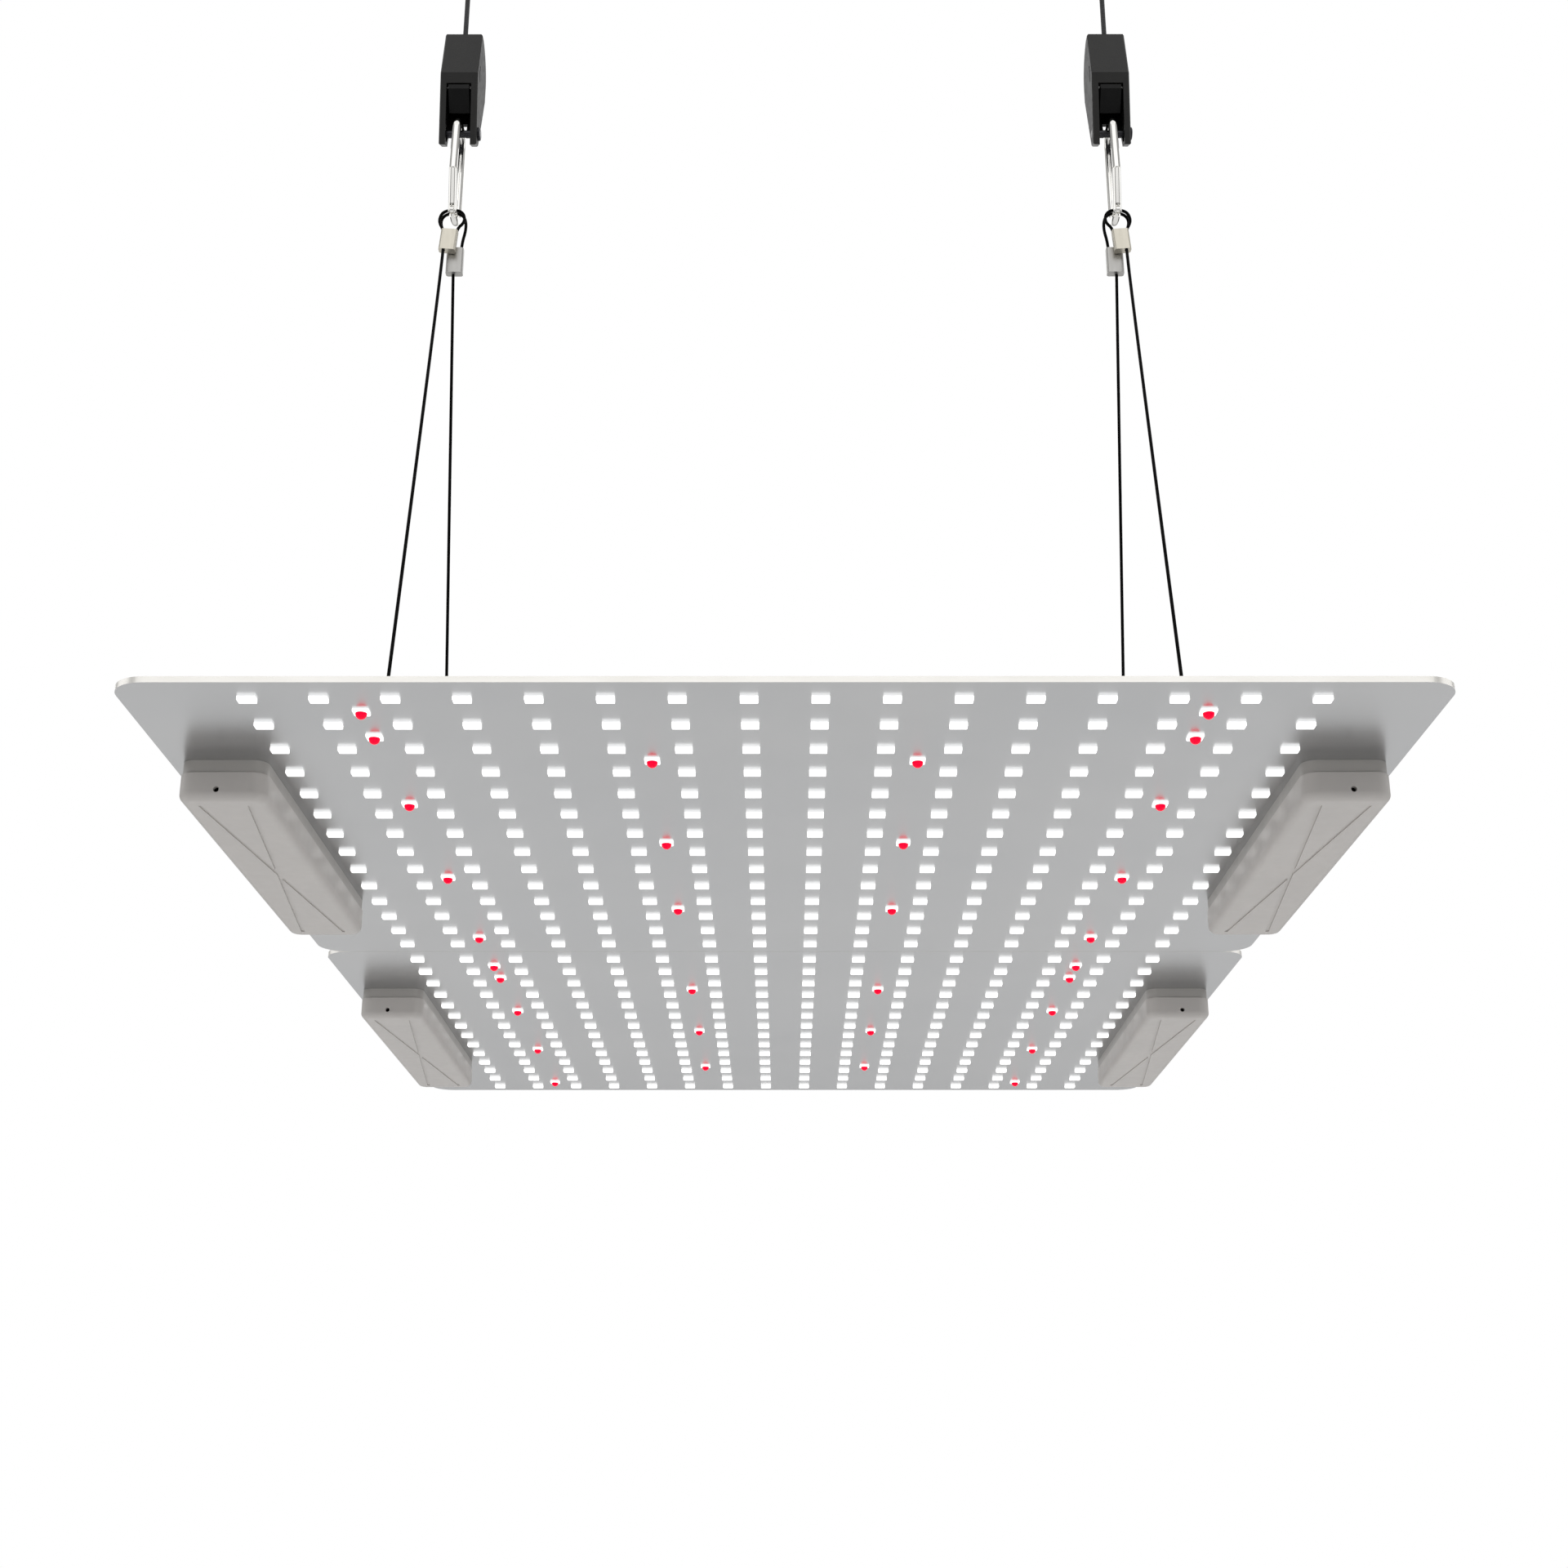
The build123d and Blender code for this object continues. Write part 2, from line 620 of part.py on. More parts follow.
def wire_route(side, end):
    """The centre line of one hanging wire, from its upper tail to its lower tail."""
    route = [hanger(side, *place) for place in WIRE_LOOPS[end]]
    frame = eye_plane(side, end)
    for across, along in EYE_LOOP:
        route.append(tuple(frame.from_local_coords((across, 0, along))))
    return route


def hanging_wire(side, end):
    """One black coated wire with a crimped loop at each end."""
    return cord_tube(f"hanging_wire_{end}_{side}", wire_route(side, end), WIRE_RADIUS)


def ferrule(size, edge=1.1):
    """A crimped sleeve: a flattened block with rounded long edges."""
    sleeve = Box(*size)
    return fillet(sleeve.edges().filter_by(Axis.Z), edge)


def loop_ferrules(wires):
    """The crimped sleeves under the upper loops, a tilted one in front of a longer one."""
    sleeves = []
    for side in SIDES:
        tilt = SIDES[side] * FERRULE_TILT
        turned = Rot(0, -tilt, 0) * ferrule(UPPER_FERRULE)
        upper = Pos(*hanger(side, *UPPER_FERRULE_PLACE)) * turned
        lower = Pos(*hanger(side, *LOWER_FERRULE_PLACE)) * ferrule(LOWER_FERRULE)
        sleeves.append(upper - wires[side, "front"])
        sleeves.append(lower - wires[side, "rear"])
    return sleeves


def eye_ferrules(wires):
    """The crimped sleeves just above the joining bars."""
    sleeves = []
    for side in SIDES:
        for end in ENDS:
            place = eye_plane(side, end).location * Pos(0, 0, EYE_FERRULE_RISE)
            sleeves.append(place * ferrule(EYE_FERRULE, 0.9) - wires[side, end])
    return sleeves


# ---- carabiners -----------------------------------------------------------------------------------
def clip_point(side, place, low):
    """A point of a carabiner's centre line from its (y, height) pair."""
    return (SIDES[side] * HANGER_X, place[0], low + place[1])


def latch_arc(side, low, radius):
    """A disc about the gate's hinge that reaches to the latch."""
    x, y, z = clip_point(side, CLIP_HINGE, low)
    return cross_rod(radius, x - 3, x + 3, y, z)


def latch_reach():
    """The distance from a gate's hinge to its latch."""
    return ((CLIP_LATCH[0] - CLIP_HINGE[0]) ** 2 + (CLIP_LATCH[1] - CLIP_HINGE[1]) ** 2) ** 0.5


def clip_frame(side, low):
    """The bent steel wire of a carabiner, slotted at the latch and flattened at the hinge."""
    corners = (CLIP_NOSE, (CLIP_TOP_FRONT, CLIP_RISE), (CLIP_BACK, CLIP_RISE), (CLIP_BACK, 0), CLIP_HINGE)
    route = [clip_point(side, place, low) for place in corners]
    path = FilletPolyline(*route, radius=CLIP_BEND)
    frame = sweep(Plane(origin=path @ 0, z_dir=path % 0) * Circle(CLIP_WIRE), path=path)
    x, y, z = clip_point(side, CLIP_HINGE, low)
    frame += cross_rod(CLIP_WIRE, x - TONGUE_HALF, x + TONGUE_HALF, y, z)
    for sign in (-1, 1):
        cheek = sorted((x + sign * TONGUE_HALF, x + sign * 3))
        frame -= cross_rod(FORK_RADIUS, *cheek, y, z)
    frame -= cross_rod(RIVET_RADIUS, x - 3, x + 3, y, z)
    x, y, z = clip_point(side, CLIP_LATCH, low)
    frame -= latch_arc(side, low, latch_reach()) & block(x - 3, x + 3, y - 4, y + 4, z - 4, z + 2)
    slot_top = z + BLADE_SLOT
    return frame - block(x - FORK_HALF, x + FORK_HALF, y - FORK_HALF, y + 3, z - 1, slot_top)


def clip_gate(side, low):
    """The gate of a carabiner: a fork round the hinge tongue and a blade at the latch."""
    hinge = Vector(*clip_point(side, CLIP_HINGE, low))
    latch = Vector(*clip_point(side, CLIP_LATCH, low))
    axis = Plane(origin=hinge, x_dir=(1, 0, 0), z_dir=(latch - hinge).normalized())
    gate = axis.location * round_ended_rod(CLIP_WIRE, latch_reach() + 1)
    x, y, z = hinge
    gate -= cross_rod(FORK_RADIUS, x - FORK_HALF, x + FORK_HALF, y, z)
    gate -= cross_rod(RIVET_HOLE, x - 3, x + 3, y, z)
    gate &= latch_arc(side, low, latch_reach() - LATCH_GAP)
    x, y, z = latch
    return gate + block(x - BLADE_HALF, x + BLADE_HALF, y - BLADE_HALF, y + 1.4, z - 1.4, z + BLADE_RISE)


def gate_pins(low):
    """The rivets that the gates turn on."""
    pins = []
    for side in SIDES:
        x, y, z = clip_point(side, CLIP_HINGE, low)
        pins.append(cross_rod(RIVET_RADIUS, x - CLIP_WIRE, x + CLIP_WIRE, y, z))
    return pins


# ---- rope ratchets ----------------------------------------------------------------------------------
def housing_outline():
    """The side view of a ratchet housing: narrow below, arched at the rear of the top."""
    front = ((0.6, HOUSING_TOP), (-3.5, HOUSING_TOP), (-10.0, 433.5), (-3.5, 398.1))
    straight = Polyline(*front, (2.5, 401.3), (13.9, 434.7))
    rear = Line((13.9, 434.7), (13.9, 442.7))
    arch = ThreePointArc((13.9, 442.7), (9.6, 454.3), (0.6, HOUSING_TOP))
    return straight + rear + arch


def housing_blank():
    """The whole housing as a hollow case, before it is split into its two halves."""
    outline = housing_outline()
    solid = side_prism(outline, HOUSING_HALF)
    edges = solid.edges().filter_by(Axis.X, reverse=True)
    solid = chamfer(edges, HOUSING_EDGE / 2)
    cavity_face = offset(make_face(outline), -HOUSING_WALL, kind=Kind.INTERSECTION)
    half = HOUSING_HALF - HOUSING_PLATE
    cavity = Pos(-half, 0, 0) * extrude(Plane.YZ * cavity_face, 2 * half, dir=(1, 0, 0))
    solid -= cavity
    solid -= block(-WINDOW_HALF, WINDOW_HALF, -14, 1.0, 390, WINDOW_TOP)
    solid -= block(-REAR_SLOT_HALF, REAR_SLOT_HALF, 0.0, 20, 390, REAR_SLOT_TOP)
    solid -= block(-WINDOW_HALF, WINDOW_HALF, 0.0, 20, 390, REAR_MOUTH_TOP)
    return solid


def side_slot(x0, x1):
    """The short curved slot in a housing's side face."""
    ring = cross_rod(SLOT_OUTER_RADIUS, x0, x1, WHEEL_Y, WHEEL_Z)
    ring -= cross_rod(SLOT_INNER_RADIUS, x0 - 1, x1 + 1, WHEEL_Y, WHEEL_Z)
    return ring & block(x0, x1, -8, -3.6, WHEEL_Z - 5, WHEEL_Z + 4)


def housing():
    """The hollow case with its bosses, bores and side slots."""
    case = housing_blank()
    plate = HOUSING_HALF - HOUSING_PLATE
    for sign in (-1, 1):
        boss = sorted((sign * BOSS_FACE, sign * (plate + 0.5)))
        case += cross_rod(AXLE_RADIUS + 1.3, *boss, WHEEL_Y, WHEEL_Z)
        recess = sorted((sign * (HOUSING_HALF - SLOT_DEPTH), sign * (HOUSING_HALF + 1)))
        case -= side_slot(*recess)
    case -= cross_rod(AXLE_RADIUS, -AXLE_HALF, AXLE_HALF, WHEEL_Y, WHEEL_Z)
    case -= cross_rod(LEVER_PIN, -AXLE_HALF, AXLE_HALF, *LEVER_PIVOT)
    case -= cross_rod(PIN_RADIUS, -20, 20, 0, PIN_Z)
    for y in (0, 2 * WHEEL_Y):
        case -= Pos(0, y, 0) * rod(ROPE_BORE, WHEEL_Z, HOUSING_TOP + 10)
    return case


def ratchet_shell(side, half, case):
    """One half of a ratchet housing; inner halves face the middle of the light."""
    towards_middle = -SIDES[side]
    sign = towards_middle if half == "inner" else -towards_middle
    keep = sorted((0.0, sign * 20.0))
    shell = case & block(*keep, -30, 30, 380, 480)
    return Pos(SIDES[side] * HANGER_X, 0, 0) * shell


def ratchet_wheel(side):
    """The grooved rope wheel; the flange on the lever's pawl side has ratchet teeth."""
    disc = cross_rod(WHEEL_RIM, -WHEEL_HALF, WHEEL_HALF, 0, 0)
    groove = cross_rod(WHEEL_RIM + 1, -GROOVE_HALF, GROOVE_HALF, 0, 0)
    groove -= cross_rod(WHEEL_ROOT, -GROOVE_HALF, GROOVE_HALF, 0, 0)
    wheel = disc - groove
    flange = GROOVE_HALF + 0.7 + WHEEL_HALF / 2
    for tooth in range(RATCHET_TEETH):
        notch = Pos(0, 0, WHEEL_RIM) * Rot(35, 0, 0) * Box(WHEEL_HALF, 1.5, 1.6)
        wheel -= Rot(360 * tooth / RATCHET_TEETH, 0, 0) * Pos(flange, 0, 0) * notch
    wheel -= cross_rod(AXLE_RADIUS + RUNNING, -10, 10, 0, 0)
    return Pos(SIDES[side] * HANGER_X, WHEEL_Y, WHEEL_Z) * wheel


def release_lever(side):
    """The release lever: a thumb plate in the window, a hub on the pin and a pawl by the wheel."""
    y, z = LEVER_PIVOT
    plate = ((-8.9, 427.5), (-9.1, 425.1), (-2.6, 416.3), (-0.9, 417.3), (-4.6, 426.9))
    lever = side_prism(Polyline(*plate, close=True), LEVER_HALF)
    hub = cross_rod(LEVER_HUB, -1.8, 4.2, y, z)
    neck = block(-1.8, 4.2, y - 1.5, y + 1.5, z - 4, z)
    reach = ((WHEEL_Y - y) ** 2 + (WHEEL_Z - z) ** 2) ** 0.5 - WHEEL_RIM - 0.5
    aim = degrees(atan2(WHEEL_Z - z, WHEEL_Y - y))
    pawl = Pos(3.0, y, z) * Rot(aim, 0, 0) * Pos(0, reach / 2, 0) * Box(2.4, reach, 1.8)
    lever += hub + neck + pawl
    lever -= cross_rod(LEVER_PIN + RUNNING, -10, 10, y, z)
    return Pos(SIDES[side] * HANGER_X, 0, 0) * lever


def both_sides(piece):
    """The same piece at both hangers."""
    return [Pos(SIDES[side] * HANGER_X, 0, 0) * piece for side in SIDES]


def wheel_axles():
    """The plain pins that the rope wheels turn on."""
    return both_sides(cross_rod(AXLE_RADIUS, -AXLE_HALF, AXLE_HALF, WHEEL_Y, WHEEL_Z))


def lever_pins():
    """The plain pins that the release levers turn on."""
    return both_sides(cross_rod(LEVER_PIN, -AXLE_HALF, AXLE_HALF, *LEVER_PIVOT))


def hook_pins():
    """The headed pins that the lower carabiners hang on."""
    shank = cross_rod(PIN_RADIUS, -HOUSING_HALF, HOUSING_HALF + 0.1, 0, PIN_Z)
    head = cross_rod(PIN_HEAD_RADIUS, HOUSING_HALF, HOUSING_HALF + PIN_HEAD, 0, PIN_Z)
    head = fillet(head.faces().sort_by(Axis.X)[-1].edges(), 0.7)
    return both_sides(shank + head)


def lever_springs():
    """The coil springs beside the lever hubs, round the lever pins."""
    coil = Helix(pitch=SPRING_PITCH, height=SPRING_LENGTH, radius=SPRING_RADIUS)
    wire = sweep(Plane(origin=coil @ 0, z_dir=coil % 0) * Circle(SPRING_WIRE), path=coil)
    y, z = LEVER_PIVOT
    return both_sides(Pos(SPRING_X, y, z) * Rot(0, 90, 0) * wire)


# ---- ropes --------------------------------------------------------------------------------------------
def rope_wraps():
    """The rope inside each ratchet: down the front, under the wheel, up to its stopper knot."""
    far = 2 * WHEEL_Y
    low = WHEEL_Z - WHEEL_Y
    path = Line((0, 0, ROPE_WRAP_TOP), (0, 0, WHEEL_Z))
    path += ThreePointArc((0, 0, WHEEL_Z), (0, WHEEL_Y, low), (0, far, WHEEL_Z))
    path += Line((0, far, WHEEL_Z), (0, far, ROPE_TAIL_TOP))
    tube = sweep(Plane(origin=path @ 0, z_dir=path % 0) * Circle(ROPE_RADIUS), path=path)
    knot = Pos(0, far + 0.3, ROPE_TAIL_TOP + 0.9) * Sphere(KNOT_RADIUS)
    return both_sides(tube + knot)


def rope_upper(side):
    """The taut rope between a ratchet and the sleeve of its upper loop."""
    x = SIDES[side] * HANGER_X
    return Pos(x, 0, 0) * rod(ROPE_RADIUS, ROPE_WRAP_TOP + 0.3, ROPE_FERRULE_Z - 0.3)


ROPE_LOOP = (
    (0.0, ROPE_FERRULE_Z - 0.3),
    (0.0, 498.5),
    (-4.4, 504.3),
    (-3.4, ROPE_CREST),
    (4.6, ROPE_CREST + 0.1),
    (5.8, 504.3),
    (2.6, 498.7),
    (2.5, 487.2),
)


def rope_loops():
    """The loops that the ropes end in, round the bottoms of the upper carabiners."""
    loops = []
    for side in SIDES:
        route = [hanger(side, u, 0, z) for u, z in ROPE_LOOP]
        loops.append(cord_tube(f"rope_loop_{side}", route, ROPE_RADIUS))
    return loops


def rope_ferrules(loops):
    """The crimped sleeves of the rope loops."""
    sleeves = []
    middle = ROPE_FERRULE_Z + ROPE_FERRULE[2] / 2
    for side, loop in zip(SIDES, loops):
        sleeves.append(Pos(*hanger(side, 1.3, 0, middle)) * ferrule(ROPE_FERRULE, 1.6) - loop)
    return sleeves


# ---- assembly -------------------------------------------------------------------------------------------
def save(name, shape):
    """Write one node, either a single solid or a group of separate solids."""
    pieces = shape if isinstance(shape, list) else [shape]
    solids = [solid for piece in pieces for solid in piece.solids()]
    whole = solids[0] if len(solids) == 1 else Compound(solids)
    export_step(whole, f"parts/{name}.step")


def save_light():
    """Everything that hangs from the lower carabiners."""
    for end in ENDS:
        save(f"led_board_{end}", led_board(end))
        save(f"white_leds_{end}", white_leds(end))
        save(f"red_leds_{end}", red_leds(end))
        for side in SIDES:
            save(f"driver_cover_{end}_{side}", driver_cover(side, end))
            save(f"cover_base_{end}_{side}", cover_base(side, end))
    for side in SIDES:
        save(f"joining_bar_{side}", joining_bar(side))
    singles = (driver_parts, cover_screws, clinch_studs, stud_nuts, power_box_base, power_box_lid)
    singles += (power_box_screws, terminal_blocks, jumper_leads, cable_gland, gland_nut)
    for make in singles:
        save(make.__name__, make())
    wires = {(side, end): hanging_wire(side, end) for side in SIDES for end in ENDS}
    for (side, end), wire in wires.items():
        save(f"hanging_wire_{end}_{side}", wire)
    save("loop_ferrules", loop_ferrules(wires))
    save("eye_ferrules", eye_ferrules(wires))


def save_hangers():
    """Carabiners, ratchets and ropes."""
    case = housing()
    for side in SIDES:
        for level, low in (("lower", LOWER_CLIP_Z), ("upper", UPPER_CLIP_Z)):
            save(f"{level}_carabiner_{side}", clip_frame(side, low))
            save(f"{level}_gate_{side}", clip_gate(side, low))
        for half in ("inner", "outer"):
            save(f"ratchet_shell_{half}_{side}", ratchet_shell(side, half, case))
        save(f"ratchet_wheel_{side}", ratchet_wheel(side))
        save(f"release_lever_{side}", release_lever(side))
        save(f"rope_upper_{side}", rope_upper(side))
    save("lower_gate_pins", gate_pins(LOWER_CLIP_Z))
    save("upper_gate_pins", gate_pins(UPPER_CLIP_Z))
    for make in (wheel_axles, lever_pins, hook_pins, lever_springs, rope_wraps):
        save(make.__name__, make())
    loops = rope_loops()
    save("rope_loops", loops)
    save("rope_ferrules", rope_ferrules(loops))


os.makedirs("parts", exist_ok=True)
save_light()
save_hangers()
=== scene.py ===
"""The looks of the LED grow light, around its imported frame. Metres, +Z up, in the frame of the part."""
import json
import math

import bmesh
import bpy
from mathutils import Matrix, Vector


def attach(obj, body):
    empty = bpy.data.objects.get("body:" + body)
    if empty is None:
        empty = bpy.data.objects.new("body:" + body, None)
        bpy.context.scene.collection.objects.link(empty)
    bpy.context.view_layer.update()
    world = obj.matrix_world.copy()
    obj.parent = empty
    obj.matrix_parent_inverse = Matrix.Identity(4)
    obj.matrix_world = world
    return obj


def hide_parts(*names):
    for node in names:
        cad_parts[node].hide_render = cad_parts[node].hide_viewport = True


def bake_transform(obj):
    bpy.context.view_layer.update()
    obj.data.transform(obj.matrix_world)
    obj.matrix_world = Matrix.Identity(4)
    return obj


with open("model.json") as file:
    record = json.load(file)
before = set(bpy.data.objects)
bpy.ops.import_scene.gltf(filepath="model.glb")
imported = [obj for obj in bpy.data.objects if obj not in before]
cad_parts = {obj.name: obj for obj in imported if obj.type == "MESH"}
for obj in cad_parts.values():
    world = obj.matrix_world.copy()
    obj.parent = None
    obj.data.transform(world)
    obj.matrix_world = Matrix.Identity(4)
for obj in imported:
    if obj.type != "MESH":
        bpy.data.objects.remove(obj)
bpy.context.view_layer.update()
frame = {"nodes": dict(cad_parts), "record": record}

MM = 0.001
SIDES = {"left": -1, "right": 1}
ENDS = {"front": -1, "rear": 1}

# the camera, below the front edge and looking up
CAMERA_PLACE = (0.0, -0.8063, -0.2035)
CAMERA_RISE = math.radians(19.641)
CAMERA_TURN = math.radians(0.027)
CAMERA_LENS = 47.42

# how bright the surround is, from straight down (0) over the horizon (0.5) to straight up (1)
SKY_PLACES = (0.0, 0.42, 0.5, 0.58, 0.68, 0.8, 1.0)
SKY_LEVELS = (0.6, 0.3, 0.25, 0.6, 0.95, 1.0, 0.75)
SKY_STRENGTH = 1.32
# two dark flags at the sides, by the sideways part of the direction
FLAG_PLACES = (0.0, 0.55, 0.62, 0.8, 0.87, 1.0)
FLAG_LEVELS = (1.0, 1.0, 0.3, 0.3, 1.0, 1.0)

# the floor disc
FLOOR_PLACE = (0, 0.9, -0.42)
FLOOR_RADIUS = 1.9

# sizes that the routes of the wires and ropes share with the part, in millimetres
HANGER_X = 152.0
EYE_Y = 90.0
EYE_Z = 24.5
LOOP_CREST = 363.6
WIRE_DIAMETER = 1.4
ROPE_DIAMETER = 2.3
KNOT_STRAND = 1.9
WHEEL_Y = 4.6
WHEEL_Z = 437.7
ROPE_TAIL_TOP = 458.1
ROPE_FERRULE_Z = 486.0
ROPE_CREST = 509.7

# the LED grid and its parts, in millimetres
BOARD_STARTS = {"front": -283.8, "rear": 0.0}
BOARD_UNDERSIDE = 12.6
LED_PITCH = 20.0
LED_COLUMNS = 16
LED_ROWS = 14
LED_START = 11.7
WHITE_LED = (5.1, 3.3, 1.05)
RED_BASE = (4.6, 4.6, 0.65)
RED_LENS_RADIUS = 1.7
RED_LENS_DROP = 2.45
RED_ROWS = {120.0: (0.5, 1.5, 4.5, 8.5, 12.5), 40.0: (2.5, 6.5, 10.5)}
DOME_SIDES = 20
DOME_STEPS = 8

# points of the wires' and ropes' loops: distance inwards from the hanger, then Y and Z
WIRE_LOOPS = {
    "front": (
        (1.0, -2.4, 342.7),
        (1.4, -2.4, 352.3),
        (5.8, -1.7, 357.3),
        (3.8, -1.3, LOOP_CREST + 0.1),
        (-4.8, -1.3, LOOP_CREST),
        (-6.8, -1.7, 357.5),
        (-3.9, -2.4, 352.1),
        (-3.2, -2.5, 340.5),
    ),
    "rear": (
        (3.6, 2.0, 333.7),
        (3.6, 2.0, 346.2),
        (6.0, 1.6, 357.1),
        (3.8, 1.3, LOOP_CREST + 0.1),
        (-4.8, 1.3, LOOP_CREST),
        (-6.8, 1.6, 357.3),
        (0.2, 2.0, 346.5),
        (0.9, 2.0, 331.2),
    ),
}
# across the joining bar's flange, then along the wire from the eye
EYE_LOOP = (
    (-0.9, 25.0),
    (-1.0, 15.0),
    (-3.4, 7.0),
    (-2.2, -0.4),
    (2.2, -0.2),
    (3.4, 7.0),
    (1.0, 15.0),
    (0.9, 24.0),
)
# distance inwards from the hanger, then Z
ROPE_LOOP = (
    (0.0, ROPE_FERRULE_Z - 0.3),
    (0.0, 498.5),
    (-4.4, 504.3),
    (-3.4, ROPE_CREST),
    (4.6, ROPE_CREST + 0.1),
    (5.8, 504.3),
    (2.6, 498.7),
    (2.5, 487.2),
)


# ---- node helpers --------------------------------------------------------------------------------
class Shader:
    """A material's node tree with a Principled shader, and short calls to add nodes to it."""

    def __init__(self, name, colour, roughness, metallic=0.0):
        self.material = bpy.data.materials.new(name)
        self.material.use_nodes = True
        self.tree = self.material.node_tree
        self.bsdf = self.tree.nodes["Principled BSDF"]
        self.set(**{"Base Color": (*colour, 1), "Roughness": roughness, "Metallic": metallic})
        self.bumps = None

    def set(self, **values):
        """Constants on the Principled shader's own sockets."""
        for name, value in values.items():
            self.bsdf.inputs[name].default_value = value

    def node(self, kind, **settings):
        """A new node with its settings."""
        made = self.tree.nodes.new(kind)
        for name, value in settings.items():
            setattr(made, name, value)
        return made

    def link(self, source, target):
        """A link from an output socket to an input socket."""
        self.tree.links.new(source, target)

    def place(self, scale=(1, 1, 1), source="Object"):
        """Texture coordinates, stretched."""
        coordinates = self.node("ShaderNodeTexCoord")
        mapping = self.node("ShaderNodeMapping")
        mapping.inputs["Scale"].default_value = scale
        self.link(coordinates.outputs[source], mapping.inputs["Vector"])
        return mapping.outputs["Vector"]

    def noise(self, scale, detail=3.0, stretch=(1, 1, 1)):
        """Cloudy noise, about 0.3 to 0.7."""
        made = self.node("ShaderNodeTexNoise")
        made.inputs["Scale"].default_value = scale
        made.inputs["Detail"].default_value = detail
        self.link(self.place(stretch), made.inputs["Vector"])
        return made.outputs["Fac"]

    def spread(self, value, low, high, start=0.3, end=0.7):
        """A value mapped from start..end to low..high."""
        made = self.node("ShaderNodeMapRange")
        made.inputs["From Min"].default_value = start
        made.inputs["From Max"].default_value = end
        made.inputs["To Min"].default_value = low
        made.inputs["To Max"].default_value = high
        self.link(value, made.inputs["Value"])
        return made.outputs["Result"]

    def mix(self, factor, first, second):
        """Two colours, or colour sockets, mixed by a factor socket."""
        made = self.node("ShaderNodeMix", data_type="RGBA")
        self.link(factor, made.inputs["Factor"])
        colour_a, colour_b, result = made.inputs[6], made.inputs[7], made.outputs[2]
        for socket, value in ((colour_a, first), (colour_b, second)):
            if isinstance(value, bpy.types.NodeSocket):
                self.link(value, socket)
            else:
                socket.default_value = (*value, 1)
        return result

    def bump(self, height, strength, distance):
        """A bump laid over the ones before it."""
        made = self.node("ShaderNodeBump")
        made.inputs["Strength"].default_value = strength
        made.inputs["Distance"].default_value = distance
        self.link(height, made.inputs["Height"])
        if self.bumps is not None:
            self.link(self.bumps, made.inputs["Normal"])
        self.bumps = made.outputs["Normal"]
        self.link(self.bumps, self.bsdf.inputs["Normal"])

    def facing(self, axis, low, high, start, end):
        """How far a face is square to an axis, 0..1, mapped from start..end to low..high."""
        parts = self.node("ShaderNodeSeparateXYZ")
        self.link(self.node("ShaderNodeNewGeometry").outputs["Normal"], parts.inputs["Vector"])
        square = self.node("ShaderNodeMath", operation="ABSOLUTE")
        self.link(parts.outputs[axis], square.inputs[0])
        return self.spread(square.outputs[0], low, high, start, end)

    def vary_roughness(self, low, high, scale, stretch=(1, 1, 1)):
        """Roughness that wanders between two values."""
        self.link(self.spread(self.noise(scale, 4, stretch), low, high), self.bsdf.inputs["Roughness"])

    def vary_colour(self, first, second, scale):
        """A base colour that wanders between two colours."""
        colour = self.mix(self.spread(self.noise(scale, 4), 0, 1), first, second)
        self.link(colour, self.bsdf.inputs["Base Color"])


# ---- materials ---------------------------------------------------------------------------------------
def board_enamel():
    """Satin metallic board faces, with a cream cut edge that is less metallic."""
    s = Shader("board_enamel", (0.5, 0.5, 0.5), 0.2, 0.9)
    face = s.mix(s.spread(s.noise(14, 2), 0, 1), (0.50, 0.505, 0.512), (0.525, 0.527, 0.53))
    edge = s.facing("Z", 1, 0, 0.5, 0.6)
    cut = s.mix(s.spread(s.noise(60, 2, (1, 1, 4)), 0, 1), (0.93, 0.91, 0.86), (0.99, 0.97, 0.93))
    s.link(s.mix(edge, face, cut), s.bsdf.inputs["Base Color"])
    s.link(s.spread(edge, 0.9, 0.5, 0, 1), s.bsdf.inputs["Metallic"])
    s.vary_roughness(0.235, 0.27, 30)
    s.bump(s.noise(900, 2), 0.015, 0.00005)
    return s.material


def white_led_body():
    """The lit white housing of an LED."""
    s = Shader("white_led_body", (0.95, 0.95, 0.94), 0.3)
    s.set(**{"Emission Color": (1, 1, 1, 1), "Emission Strength": 1.15})
    s.bump(s.noise(3000, 2), 0.05, 0.00005)
    s.material.cycles.emission_sampling = "NONE"
    return s.material


def phosphor():
    """The glowing yellow-white phosphor in an LED."""
    s = Shader("phosphor", (0.98, 0.95, 0.82), 0.35)
    glow = s.mix(s.spread(s.noise(2500, 2), 0, 1), (1, 0.99, 0.96), (1, 1, 1))
    s.link(glow, s.bsdf.inputs["Emission Color"])
    s.set(**{"Emission Strength": 2.2})
    s.bump(s.noise(6000, 2), 0.1, 0.00003)
    s.material.cycles.emission_sampling = "NONE"
    return s.material


